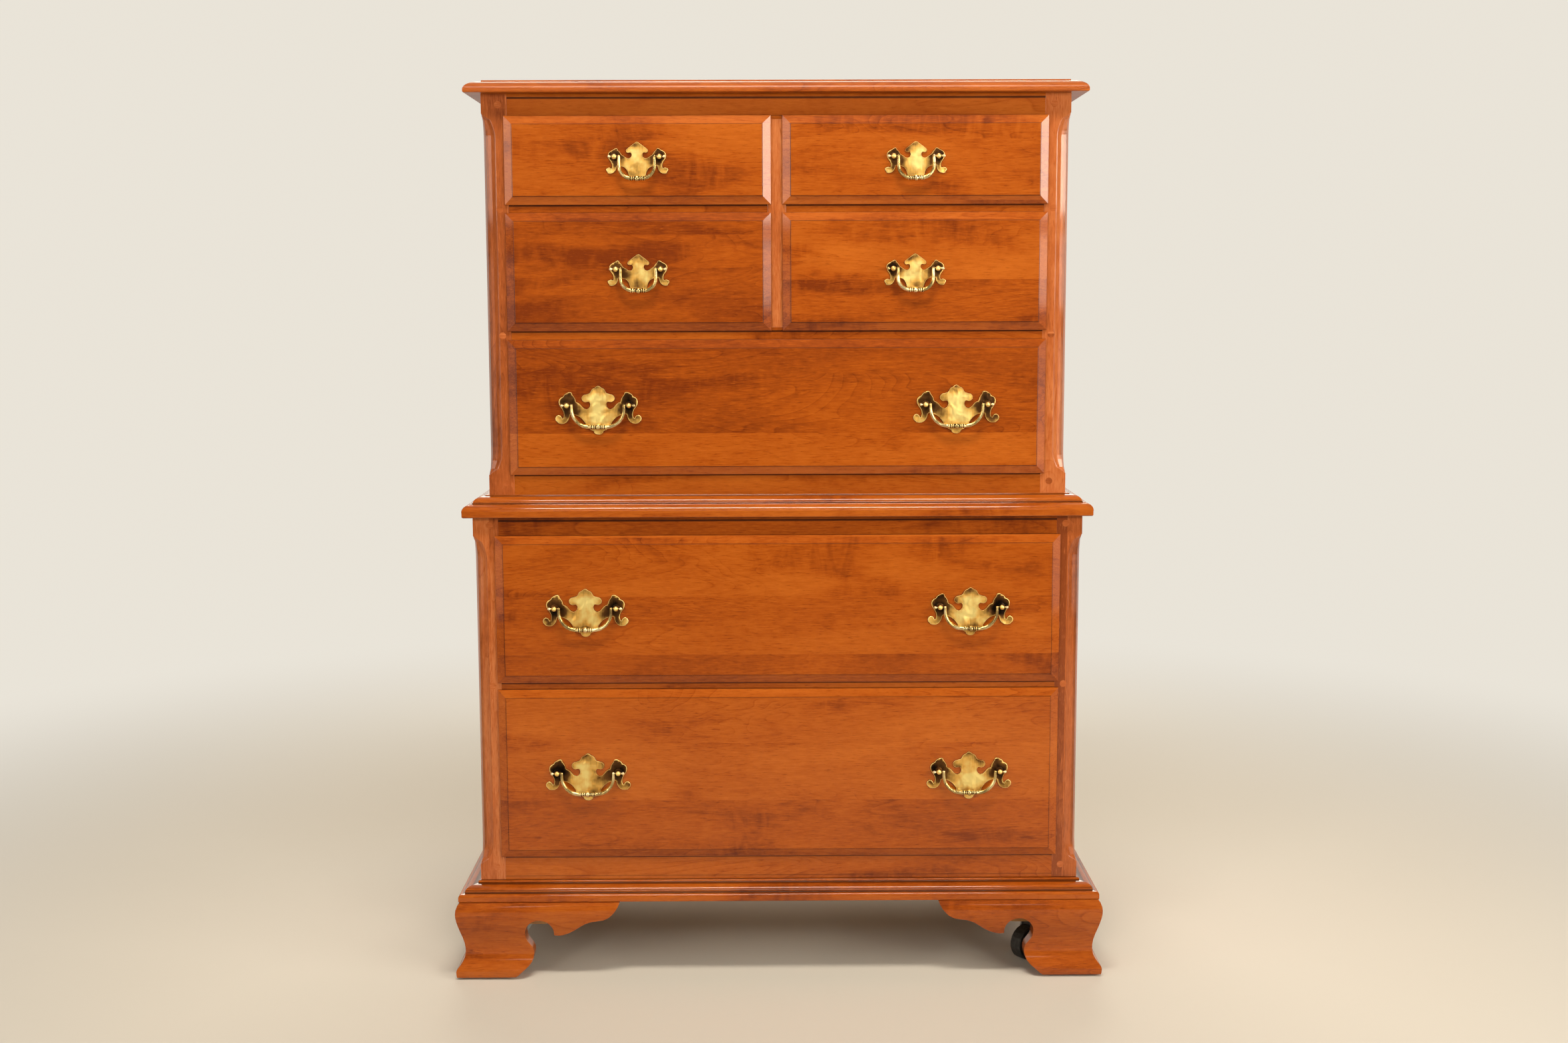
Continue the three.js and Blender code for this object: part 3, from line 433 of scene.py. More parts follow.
# The finishes: each is a material and the slot that its pieces fill.
STAIN, CLEAR = ("#6E2C06", "#98470B", "#AD5A17"), ("#B88650", "#D2A873", "#E2C08E")
maple, top_maple, post_maple, lining, ply, brass, bail_brass, steel, rubber = (
    (new_material(name, look, *values), slot) for slot, name, look, *values in (
        ("stained_wood", "stained maple, lacquered", stained_maple, *STAIN),
        ("stained_wood", "stained maple, lacquer worn satin", stained_maple, *STAIN, 1.0, 0.6, 0.45, 0.34),
        ("stained_wood", "stained maple, posts", stained_maple, "#7E3C18", "#A95929", "#C27644", 0.8),
        ("drawer_lining", "maple lining, clear lacquer", stained_maple, *CLEAR, 0.8, 0.1, 0.45),
        ("back_panel", "birch plywood, sanded", sanded_ply),
        ("pull_brass", "antique brass, rubbed", antique_brass, 0.46, "#FFE794", "#F2BE62", "#744E2A"),
        ("pull_brass", "antique brass, handled", antique_brass, 0.3, "#F6E6B4", "#CDB478", "#6C5632"),
        ("caster_steel", "zinc-plated steel", dusty, 180.0, "#7F8082", "#A9AAA8", 1.0, 0.3, 0.05),
        ("wheel_rubber", "caster rubber", dusty, 240.0, "#161514", "#3A3835", 0.0, 0.5, 0.25),
    )
)
bottom_ply = (ply[0], "drawer_lining")


# What repeats is instanced by a tree: round, six-sided or slotted heads, and dovetails.
def repeating(name, inputs, shape):
    """A tree that sets a shape on every point. shape(add, given) builds it from the tree's named
    inputs and gives it with its instances' rotation and how dark its glaze is."""
    tree = bpy.data.node_groups.new(name, "GeometryNodeTree")
    tree.interface.new_socket("Geometry", in_out="OUTPUT", socket_type="NodeSocketGeometry")
    for size, kind in (("Geometry", "Geometry"), *inputs, ("Material", "Material")):
        tree.interface.new_socket(size, in_out="INPUT", socket_type=f"NodeSocket{kind}")
    add = partial(add_node, tree)
    given = tree.nodes.new("NodeGroupInput").outputs
    instance, rotation, dark = shape(add, given)
    set_out = add("GeometryNodeInstanceOnPoints", {
        "Points": given["Geometry"], "Instance": instance, "Rotation": rotation,
    })
    set_out = add("GeometryNodeRealizeInstances", {"Geometry": set_out})
    for label, value, kind in (
        ("grain", add("GeometryNodeInputPosition"), "FLOAT_VECTOR"), ("glaze", dark, "FLOAT"),
    ):
        set_out = add("GeometryNodeStoreNamedAttribute", {
            "Geometry": set_out, "Name": label, "Value": value,
        }, data_type=kind, domain="POINT")
    set_out = add("GeometryNodeSetMaterial", {"Geometry": set_out, "Material": given["Material"]})
    add("NodeGroupOutput", {"Geometry": set_out})
    return tree


def round_head(add, given):
    """A low cone, slotted where the slot has a width, stood up by Tilt and spun by chance."""
    head = add("GeometryNodeMeshCone", {
        "Vertices": given["Sides"], "Radius Top": given["Crown Radius"], "Radius Bottom": given["Radius"],
        "Depth": given["Height"],
    })
    slot = add(COMBINE, {"X": given["Slot Width"], "Y": 1.0, "Z": given["Height"]})
    lifted = add(COMBINE, {"Z": add(MATH, {0: given["Height"], 1: 1.2}, operation="MULTIPLY")})
    blade = add("GeometryNodeMeshCube", {"Size": slot})
    blade = add(TRANSFORM, {"Geometry": blade, "Translation": lifted})
    slotted = add("GeometryNodeMeshBoolean", {"Mesh 1": head, "Mesh 2": blade}, operation="DIFFERENCE")
    cut_it = add("FunctionNodeCompare", {0: given["Slot Width"], 1: 0.0}, operation="GREATER_THAN")
    choice = {"Switch": cut_it, "False": head, "True": slotted}
    head = add("GeometryNodeSwitch", choice, input_type="GEOMETRY")
    head = add(TRANSFORM, {"Geometry": head, "Rotation": add(COMBINE, {"X": given["Tilt"]})})
    spun = add("FunctionNodeRandomValue", {2: 0.0, 3: 6.28, "Seed": given["Seed"]}, out=1, data_type="FLOAT")
    return head, add(COMBINE, {"Y": spun}), 0.0


def dovetail(add, given):
    """A thin end-grain shape, flared away from the board's end and stood on the drawer's side."""
    outline = add("GeometryNodeCurvePrimitiveQuadrilateral", {
        "Height": given["Long"], "Bottom Width": given["Narrow"], "Top Width": given["Wide"], "Offset": 0.0,
    }, mode="TRAPEZOID")
    tail = add("GeometryNodeFillCurve", {"Curve": outline})
    tail = add("GeometryNodeExtrudeMesh", {"Mesh": tail, "Offset Scale": given["Proud"]})
    for turn in ((math.pi / 2, 0.0, math.pi / 2), (-math.pi / 2, 0.0, 0.0)):
        tail = add(TRANSFORM, {"Geometry": tail, "Rotation": turn})
    return tail, (0.0, 0.0, 0.0), 0.12


heads_tree = repeating("heads", (
    ("Sides", "Int"), ("Radius", "Float"), ("Crown Radius", "Float"), ("Height", "Float"),
    ("Slot Width", "Float"), ("Tilt", "Float"), ("Seed", "Int"),
), round_head)
tails_tree = repeating("dovetails", (
    ("Long", "Float"), ("Narrow", "Float"), ("Wide", "Float"), ("Proud", "Float"),
), dovetail)


def instanced(name, tree, places, sizes):
    """One plain mesh with a tree's shape at places in mm; sizes are the tree's inputs by name."""
    piece = new_piece(name, places, [])
    layer = piece.modifiers.new(tree.name, "NODES")
    layer.node_group = tree
    for item in tree.interface.items_tree:
        if item.name in sizes:
            layer[item.identifier] = sizes[item.name]
    return bake(piece)


def make_heads(name, places, sides, sizes, tilt, seed, finish, body="case", slot=0.0):
    """sizes are the heads' radius, the radius of their crown, and their height."""
    radius, crown, height = sizes
    piece = instanced(name, heads_tree, places, {
        "Sides": sides, "Radius": radius * MM, "Crown Radius": crown * MM, "Height": height * MM,
        "Slot Width": slot * MM, "Tilt": tilt, "Seed": seed, "Material": finish[0],
    })
    piece.data.set_sharp_from_angle(angle=math.radians(30))
    dress(piece, finish, body=body)


# The two cases and the drawers, read from the frame.
class Case:
    def __init__(self, name):
        low, high = span(f"{name}_side_right")
        self.name = name
        self.half, self.opening = high.x, low.x
        self.front, self.back = low.y, high.y
        self.low, self.high = low.z - JOINT_GAP, high.z + JOINT_GAP
        self.inner_half = high.x - SIDE_THICK - SIDE_FIT
        self.inner_back = high.y - BACK_THICK - BACK_FIT


upper, lower = Case("upper"), Case("lower")
fronts = {name: span(f"drawer_{name}_front") for name in (
    "top_left", "top_right", "second_left", "second_right", "third", "fourth", "bottom",
)}
WIDE_DRAWERS = ("third", "fourth", "bottom")
hinges = {joint["child"]: Vector(joint["pos_m"]) / MM for joint in frame["joints"] if "pos_m" in joint}
waist_high = span("waist_frame")[1]
board_top = waist_high.z - OVOLO_HIGH
board_foot = board_top - WAIST_THICK
base_foot = span("front_foot_left")[1].z + 0.1


def make_top():
    """One glued-up slab with a thumbnail edge."""
    low, high = span("top_board")
    rise = high.z - low.z - TOP_NOSE_LOW - TOP_STEP
    field = TOP_OVERHANG - TOP_FIELD_IN
    edge = [(TOP_OVERHANG - 1.6, low.z), (TOP_OVERHANG - 0.5, low.z + 0.45), (TOP_OVERHANG, low.z + 1.7)]
    edge += [
        (TOP_OVERHANG - TOP_FIELD_IN * u, low.z + TOP_NOSE_LOW + rise * v) for u, v in quarter(12, True)
    ]
    edge += [(field, high.z - 0.5), (field - 0.15, high.z - 0.15), (field - 0.5, high.z)]
    rings = [plan((-upper.half - out, upper.half + out), (upper.front - out, high.y), z) for out, z in edge]
    dress(loft("top_slab", rings, "x", 0, sharp=25), top_maple, "top_board")


make_top()


# Corner posts with the stopped chamfer, and the side boards behind them.
def tongue(run):
    """How far the chamfer has opened, from 0 at its shoulder to 1 where it runs full."""
    return 0.52 * min(run / 0.26, 1.0) + 0.48 * math.sin(math.pi / 2 * max(0.0, (run - 0.12) / 0.88))


def post_ring(case, sign, z, opened):
    """The post's plan at one height, from its inner front corner round to its inner back corner:
    flat face, rounded quirk, slightly hollow facet, rounded arris, narrow outer facet."""
    h, f = case.half, case.front
    wide, arris = CHAMFER_WIDE * opened, CHAMFER_ARRIS * opened
    middle, deep = CHAMFER_MID * opened, CHAMFER_DEEP * opened
    x0, y0 = h - wide + 0.7, f + 1.35 * opened
    x1, y1 = h - arris - 0.9 * opened, f + middle - 0.3 * opened
    outline = [
        (case.opening, f + 0.25), (case.opening + 0.07, f + 0.07), (case.opening + 0.25, f),
        (h - wide - 1.6, f), (h - wide - 0.7, f + 0.14 * opened), (h - wide + 0.1, f + 0.62 * opened),
        (x0, y0),
    ]
    for share in (0.12, 0.3, 0.5, 0.7, 0.88):
        dip = 1.1 * opened * math.sin(math.pi * share)
        outline.append((x0 + (x1 - x0) * share, y0 + (y1 - y0) * share + dip))
    outline += [
        (x1, y1), (h - arris + 0.2 * opened, f + middle + 0.15 * opened),
        (h - arris + 0.75 * opened, f + middle + 1.2 * opened),
        (h - arris * 0.45, f + middle + (deep - middle) * 0.52), (h - 0.5 * opened, f + deep - 1.4 * opened),
        (h, f + deep + 0.4), (h, f + POST_DEEP), (case.opening, f + POST_DEEP),
    ]
    return [(sign * x, y, z) for x, y in outline]


def make_post(case, sign, side, stop_low):
    node = f"{case.name}_side_{side}"
    top, foot = case.high - JOINT_GAP, case.low + JOINT_GAP
    shares = [0.0, 0.004, 0.06, 0.14, 0.2, 0.26, 0.34, 0.45, 0.58, 0.72, 0.86, 1.0]
    heights = [(top, 0.0)]
    heights += [(top - STOP_HIGH - TONGUE_RUN * s, tongue(s)) for s in shares]
    heights += [(foot + stop_low + TONGUE_RUN * s, tongue(s)) for s in reversed(shares)]
    heights.append((foot, 0.0))
    rings = [post_ring(case, sign, z, max(opened, CHAMFER_HAIR)) for z, opened in heights]
    post = loft(f"{case.name}_post_{side}", rings, "z", 0, sharp=24)

    def hollows(p):
        out = p.y - case.front
        return 0.35 if CHAMFER_MID - 1.2 < out < CHAMFER_MID + 1.3 else 0.25 if 0.1 < out < 0.2 else 0.0

    dress(glaze(post, hollows), post_maple, node)
    # The side board meets the post in a fine line; behind it a lip covers the back's edge.
    rebate = case.back - BACK_THICK
    boards = [
        board("side", sided(sign, near, case.half), ys, (foot, top), "z") for near, ys in (
            (case.half - SIDE_THICK, (case.front + POST_DEEP + JOINT_GAP, rebate - BACK_FIT)),
            (case.half - 10.0, (rebate - 0.5, case.back)),
        )
    ]
    dress(joined(f"{case.name}_side_board_{side}", boards), maple, node)


def make_plugs():
    """Round plugs over the dowels that hold the rails, a hair proud of the posts, cross-grained."""
    def rail_middle(below, above):
        return (fronts[below][1].z + fronts[above][0].z) / 2

    for case, seed, *heights in (
        (upper, 5, upper.high - 15.0, rail_middle("second_left", "top_left"),
         rail_middle("third", "second_left"), waist_high.z + 17.0),
        (lower, 6, lower.high - 12.0, rail_middle("bottom", "fourth"), lower.low + 19.0),
    ):
        spots = [(sign * (case.opening + 12.5), case.front + 0.94, z) for sign in (-1, 1) for z in heights]
        sizes = (PLUG_RADIUS, PLUG_RADIUS - 0.3, 1.0)
        make_heads(f"{case.name}_plugs", spots, 32, sizes, math.pi / 2, seed, post_maple)


make_plugs()
for sign, side in SIDES:
    make_post(upper, sign, side, waist_high.z - upper.low + UPPER_STOP)
    make_post(lower, sign, side, LOWER_STOP)


# Frames: a stained rail in front, and behind it a cross rail, runners, guides and a dust panel.
def runner(case, sign, foot, top):
    """Carries a drawer's side, from the cross rail to the back rail."""
    ys = (case.front + CROSS_RAIL_END + 0.1, case.inner_back - RUNNER_WIDE - 0.1)
    return board("runner", sided(sign, case.inner_half - RUNNER_WIDE, case.inner_half), ys, (foot, top), "y")


def guide(case, sign, top):
    """Keeps a drawer straight: it fills the room between the opening and the case's side."""
    xs, ys = sided(sign, case.opening + 0.1, case.inner_half), (case.front + POST_DEEP + 0.3, case.inner_back)
    return board("guide", xs, ys, (top + 0.05, top + GUIDE_HIGH), "y")


def dust_panel(name, case, middle, node):
    reach = case.inner_half - RUNNER_WIDE + PANEL_TONGUE
    ys = (case.front + CROSS_RAIL_END - PANEL_TONGUE, case.inner_back - RUNNER_WIDE + PANEL_TONGUE)
    zs = (middle - PANEL_THICK / 2, middle + PANEL_THICK / 2)
    dress(board(name, (-reach, reach), ys, zs, "x"), ply, node)


def make_frame(node, case, low, high, name=None, guided=True, toned=0.0):
    name = name or node
    opening, wide, back = case.opening, case.inner_half, case.inner_back
    ys = (case.front, case.front + RAIL_DEEP)
    dress(rail(f"{name}_rail", (-opening + 0.05, opening - 0.05), ys, (low, high), toned), maple, node)
    top = high if guided else low + RUNNER_THICK
    foot = max(low, top - RUNNER_THICK)
    cross = (case.front + RAIL_DEEP + 0.1, case.front + CROSS_RAIL_END)
    pieces = [
        board("cross_rail", (-opening + 0.3, opening - 0.3), cross, (foot, top), "x"),
        board("back_rail", (-wide, wide), (back - RUNNER_WIDE, back), (foot, top), "x"),
    ]
    pieces += [runner(case, sign, foot, top) for sign in (-1, 1)]
    if guided:
        pieces += [guide(case, sign, top) for sign in (-1, 1)]
    dress(joined(f"{name}_runners", pieces), lining, node)
    if guided:
        dust_panel(f"{name}_dust_panel", case, (foot + top) / 2, node)


def rail_between(above, below):
    """A rail's foot and top, hidden behind the lips of the drawers below and above it."""
    return fronts[below][1].z - LIP_LAP, fronts[above][0].z + LIP_LAP


case_top = span("top_board")[0].z
make_frame("upper_top_frame", upper, fronts["top_left"][1].z - LIP_LAP, case_top - 0.1, guided=False)
make_frame("upper_lower_divider", upper, *rail_between("second_left", "third"))
make_frame("upper_bottom_frame", upper, board_top + 0.1, fronts["third"][0].z + LIP_LAP, toned=0.13)
make_frame("lower_divider", lower, *rail_between("fourth", "bottom"))
make_frame("waist_frame", lower, fronts["fourth"][1].z - LIP_LAP, board_foot - 0.05, "lower_top_frame", False)
make_frame("base_frame", lower, lower.low + 0.05, fronts["bottom"][0].z + LIP_LAP, "lower_bottom_frame")


def make_centre():
    """Between the small drawers: an upright mullion, a short rail on either side and a partition."""
    node = "upper_centre_divider"
    foot, top = rail_between("top_left", "second_left")
    half = fronts["top_right"][0].x + LIP_LAP
    low, high = fronts["second_left"][0].z + LIP_LAP + 0.05, fronts["top_left"][1].z - LIP_LAP - 0.05
    ys = (upper.front, upper.front + RAIL_DEEP)
    dress(board("mullion", (-half, half), ys, (low, high), "z"), post_maple, node)
    for sign, side in SIDES:
        xs = sided(sign, half + JOINT_GAP, upper.opening - JOINT_GAP)
        dress(rail(f"short_rail_{side}", xs, ys, (foot, top)), maple, node)
    front, back, wide = ys[1] + 0.1, upper.inner_back, upper.inner_half
    halves = ((top + 0.1, high), (low, foot - 0.1))
    pieces = [board("partition", (-half, half), (front, back), zs, "y") for zs in halves]
    for sign in (-1, 1):
        cross = sided(sign, 0.1, upper.opening - 0.3)
        pieces.append(board("cross_rail", cross, (front, upper.front + CROSS_RAIL_END), (foot, top), "x"))
        pieces += [runner(upper, sign, foot, top), guide(upper, sign, top)]
    pieces.append(board("back_rail", (-wide, wide), (back - RUNNER_WIDE, back), (foot, top), "x"))
    dress(joined("centre_partition", pieces), lining, node)
    dust_panel("centre_dust_panel", upper, (foot + top) / 2, node)


make_centre()


# Mouldings round the lower case, mitred at its front corners.
def moulding(name, node, edge, quirks):
    """edge is (how far out, z) from the foot of the moulding's face up, and quirks gives (lowest z,
    highest z, how dark) of its sunk lines."""
    for side in ("front", "left", "right"):
        sign = -1 if side == "left" else 1
        near = [(sign * (lower.half + out), lower.front - out, z) for out, z in edge]
        far = [(-x, y, z) if side == "front" else (x, lower.back, z) for x, y, z in near]
        member = loft(f"{name}_{side}", [near, far], "x" if side == "front" else "y")
        glaze(member, lambda p: max([dark for low, high, dark in quirks if low < p.z < high], default=0.0))
        dress(member, maple, node)


def make_waist():
    """The nosed board on the lower case, and the ovolo that the upper case stands in."""
    z0, z1, top = board_foot, board_top, waist_high.z
    out = waist_high.x - lower.half
    nose = [(-WAIST_BAND, z0), (out - 1.8, z0), (out - 0.6, z0 + 0.5), (out, z0 + 1.9), (out, z0 + 7.2)]
    nose += [(out + 0.25 - (out - 4.2) * v, z0 + 8.6 + (z1 - z0 - 9.6) * u) for u, v in quarter(9)]
    nose += [(4.0, z1), (-WAIST_BAND, z1)]
    moulding("waist_nosing", "waist_frame", nose, [(z0 - 1, z0 + 0.6, 0.6), (z1 - 0.4, z1 + 1, 0.5)])
    gap = lower.half - upper.half
    step_out = gap - 6.2
    ovolo = [(0.6, z1 + 0.02), (0.9, z1 + 0.7), (0.5, z1 + 1.5), (-0.4, z1 + 1.9)]
    ovolo += [(-0.4 - (step_out - 1.2) * v, z1 + 1.9 + (top - z1 - 3.3) * u) for u, v in quarter(8)]
    ovolo += [(-step_out - 0.2, top - 0.9), (-step_out - 0.4, top)]
    ovolo += [(-gap + 0.35, top), (-gap + 0.35, z1 + 0.02)]
    moulding("waist_ovolo", "waist_frame", ovolo, [
        (z1, z1 + 0.75, 0.85), (z1 + 0.75, z1 + 2.4, 0.35), (top - 1.6, top - 0.5, 0.7),
    ])
    reach = lower.half - WAIST_BAND - 0.1
    ys = (lower.front + WAIST_BAND + 0.1, lower.back)
    dress(board("waist_inner_board", (-reach, reach), ys, (z0, z1), "x"), lining, "waist_frame")


def make_base():
    """Nose, fillet, cove and bead from the feet up, and a plain rail at the back."""
    out = span("base_frame")[1].x - lower.half
    top, foot = lower.low, base_foot
    nose_top = foot + BASE_NOSE
    bead_out, cove_out, cove_foot, cove_top = 4.4, out - 9.3, nose_top + 3.8, top - 3.6
    run, rise = cove_out - bead_out, cove_top - cove_foot
    edge = [(-BASE_WIDE, foot), (out - 1.8, foot), (out - 0.7, foot + 0.35), (out, foot + 1.6)]
    edge += [(out - 3.4 * u, foot + 6.4 + 5.0 * v) for u, v in quarter(9, True)[1:]]
    edge += [(out - 8.4, nose_top + 0.1), (out - 8.7, nose_top + 3.4), (cove_out, cove_foot)]
    edge += [(cove_out - run * v, cove_foot + rise * u) for u, v in quarter(9)[1:]]
    edge += [(bead_out - 0.2, cove_top + 0.5), (bead_out + 0.1, cove_top + 1.5), (bead_out - 0.5, top - 0.9)]
    edge += [(2.6, top), (-BASE_WIDE, top)]
    moulding("base_moulding", "base_frame", edge, [
        (foot - 1, foot + 0.5, 0.6), (nose_top, nose_top + 0.6, 0.85), (nose_top + 3.3, nose_top + 4.4, 0.5),
        (cove_top - 0.6, cove_top + 0.7, 0.75), (top - 0.6, top + 1, 0.6),
    ])
    reach = lower.half - BASE_WIDE - 0.1
    ys = (lower.back - BASE_WIDE, lower.back)
    dress(board("base_back_rail", (-reach, reach), ys, (foot, top), "x"), lining, "base_frame")


make_waist()
make_base()


# Ogee bracket feet: the section, as (share of the height, how far out), and the sawn scroll, in mm
# from the foot's outer corner and above its sole, with a round notch in its middle.
FOOT_OUT = 35.0
WING = 241.0
OGEE = [
    (0.0, 33.9), (0.03, 34.6), (0.075, 34.9), (0.1, 34.3), (0.125, 32.4), (0.16, 29.0), (0.2, 25.9),
    (0.25, 23.4), (0.31, 22.2), (0.37, 22.3), (0.44, 23.4), (0.52, 25.7), (0.6, 28.6), (0.68, 31.3),
    (0.75, 33.3), (0.81, 34.4), (0.86, 34.7), (0.91, 34.0), (0.96, 31.9), (1.0, 28.6),
]
SCROLL = [
    (87.0, 0.0), (90.5, 2.2), (94.5, 6.2), (99.5, 10.6), (105.5, 15.4), (109.6, 19.8), (112.4, 25.5),
    (113.4, 31.5), (113.2, 37.0), (111.0, 42.5), (107.6, 47.0), (104.0, 51.8), (101.6, 57.0),
]
NOTCH_X, NOTCH_Z, NOTCH_RADIUS = 122.3, 64.6, 21.3
NOTCH_FROM, NOTCH_TO, NOTCH_STEPS = 196.0, -8.0, 18
SCROLL_END = [
    (144.6, 61.0), (150.5, 60.4), (157.5, 61.6), (165.0, 64.4), (173.5, 69.0), (182.0, 75.0), (190.5, 80.2),
    (199.5, 83.2), (209.0, 84.6), (217.0, 86.0), (224.0, 89.3), (230.0, 94.6), (235.0, 100.6),
    (239.0, 107.4), (241.0, 112.5),
]
SAW_PAST = 20


def scroll_outline():
    turns = [
        math.radians(NOTCH_FROM + (NOTCH_TO - NOTCH_FROM) * k / NOTCH_STEPS) for k in range(NOTCH_STEPS + 1)
    ]
    notch = [(NOTCH_X + NOTCH_RADIUS * math.cos(t), NOTCH_Z + NOTCH_RADIUS * math.sin(t)) for t in turns]
    return SCROLL + notch + SCROLL_END


def cut(piece, tool):
    """Takes one solid out of another and removes the tool."""
    boolean = piece.modifiers.new("cut", "BOOLEAN")
    boolean.operation = "DIFFERENCE"
    boolean.solver = "EXACT"
    boolean.object = tool
    bake(piece)
    bpy.data.objects.remove(tool)
    return piece


def bracket(name, place, mitred, foot, high, axis):
    """One bracket of a foot: the ogee run from the corner along the wing and sawn to the scroll.
    place(u, out, z) is a point by its distance along the wing and out from the case."""
    ring = [(out, foot + share * (high - foot)) for share, out in OGEE] + [(0.2, high), (0.2, foot)]
    corner = [place(FOOT_OUT - out if mitred else 0.0, out, z) for out, z in ring]
    piece = solid(name, [corner, [place(WING, out, z) for out, z in ring]])
    scroll = [(u, foot + v) for u, v in scroll_outline()]
    past, under = WING + SAW_PAST, foot - SAW_PAST
    scroll = [(scroll[0][0], under)] + scroll + [(past, scroll[-1][1]), (past, under)]
    saw = solid("saw", [[place(u, out, z) for u, z in scroll] for out in (60, -30)])
    return grain_along(settle(cut(piece, saw), 0.5, angle=34), axis)


def make_feet():
    half, front, back = lower.half, lower.front, lower.back
    for sign, side in SIDES:
        for foot, part, axis, place in (
            ("front_foot", "front", "x", lambda u, out, z: (sign * (half + FOOT_OUT - u), front - out, z)),
            ("front_foot", "side", "y", lambda u, out, z: (sign * (half + out), front - FOOT_OUT + u, z)),
            ("back_foot", "side", "y", lambda u, out, z: (sign * (half + out), back - u, z)),
        ):
            low, high = span(f"{foot}_{side}")
            piece = bracket(f"{foot}_{part}_bracket_{side}", place, foot == "front_foot", low.z, high.z, axis)
            dress(piece, maple, f"{foot}_{side}")
        wing = half - 130
        face = [(half, high.z), (half, low.z), (half - 43, low.z), (wing, low.z + 84), (wing, high.z)]
        rings = [[(sign * x, y, z) for x, z in face] for y in (back - SIDE_THICK, back)]
        dress(loft(f"back_foot_brace_{side}", rings, "x", 0.8), maple, f"back_foot_{side}")
        xs, zs = sided(sign, half - 93, half - 0.2), (BLOCK_LOW, base_foot - 0.05)
        places = ((front + 13, front + 101), (back - 112, back - SIDE_THICK - 0.2))
        for end, ys in zip(("front", "back"), places):
            dress(board(f"caster_block_{end}_{side}", xs, ys, zs, "x", 1.2), lining, "base_frame")


def make_backs():
    """Plywood, screwed into the cases' rebates."""
    for case in (upper, lower):
        low, high = span(f"{case.name}_back")
        name = f"{case.name}_back"
        panel = board(f"{name}_panel", (low.x, high.x), (low.y, high.y - 0.35), (low.z, high.z), "x", 0.3)
        dress(panel, ply, name)
        rows = [low.z + 14 + (high.z - low.z - 28) * k / 5 for k in range(6)]
        columns = [low.x + 9 + (high.x - low.x - 18) * k / 4 for k in range(5)]
        spots = [(x, high.y - 1.35, z) for x in (columns[0], columns[-1]) for z in rows]
        spots += [(x, high.y - 1.35, z) for x in columns[1:-1] for z in (rows[0], rows[-1])]
        make_heads(f"{name}_screws", spots, 20, (3.4, 2.6, 1.3), -math.pi / 2, 11, steel, slot=0.8)


make_feet()
make_backs()


# Drawers.
def thumbnail_front(name):
    """A lipped front: a flat bevel all round, and a field raised from it by a small step."""
    low, high = fronts[name]
    field, inside = low.y, high.y
    foot = field + THUMB_STEP
    lip = foot + THUMB_RISE
    behind = lip + LIP_EDGE
    slope = (THUMB_RISE - 0.78) / (THUMB_RUN - 0.82)
    line = [
        (LIP_INSIDE, inside), (LIP_INSIDE, behind), (0.5, behind), (0.0, behind - 0.5),
        (0.0, lip), (0.12, lip - 0.42), (0.42, lip - 0.78), (0.9, lip - 0.78 - 0.48 * slope),
        (THUMB_RUN - 1.1, foot + 0.7 * slope), (THUMB_RUN - 0.4, foot), (THUMB_RUN - 0.25, foot + 0.1),
        (THUMB_RUN + 0.05, field + 0.5), (THUMB_RUN + 0.2, field + 0.15), (THUMB_RUN + 0.6, field),
    ]
    rings = [[
        (low.x + inset, y, low.z + inset), (high.x - inset, y, low.z + inset),
        (high.x - inset, y, high.z - inset), (low.x + inset, y, high.z - inset),
    ] for inset, y in line]

    def step_and_lip(p):
        inset = min(p.x - low.x, high.x - p.x, p.z - low.z, high.z - p.z)
        if p.y > lip - 0.1:
            return 0.85
        if inset > THUMB_RUN + 0.5 or inset < THUMB_RUN - 0.5:
            return 0.0
        return 0.4 if high.z - p.z < inset + 0.1 else 0.62

    front = glaze(loft(f"{name}_drawer_front", rings, "x", 0, sharp=24), step_and_lip)
    dress(front, maple, f"drawer_{name}_front", body=f"drawer_{name}")


def make_dovetails(name, xs, ys, zs):
    count = max(3, round((zs[1] - zs[0]) / TAIL_PITCH))
    pitch = (zs[1] - zs[0]) / count
    spots = [
        (x, y, zs[0] + pitch * (k + 0.5)) for k in range(count)
        for x in (xs[0] - TAIL_PROUD, xs[1]) for y in (ys[0] + BOX_WALL / 2, ys[1] - BOX_WALL / 2)
    ]
    piece = instanced(f"{name}_dovetails", tails_tree, spots, {
        "Long": BOX_WALL * MM, "Narrow": pitch * 0.3 * MM, "Wide": pitch * 0.5 * MM, "Proud": TAIL_PROUD * MM,
        "Material": lining[0],
    })
    dress(piece, lining, body=f"drawer_{name}")


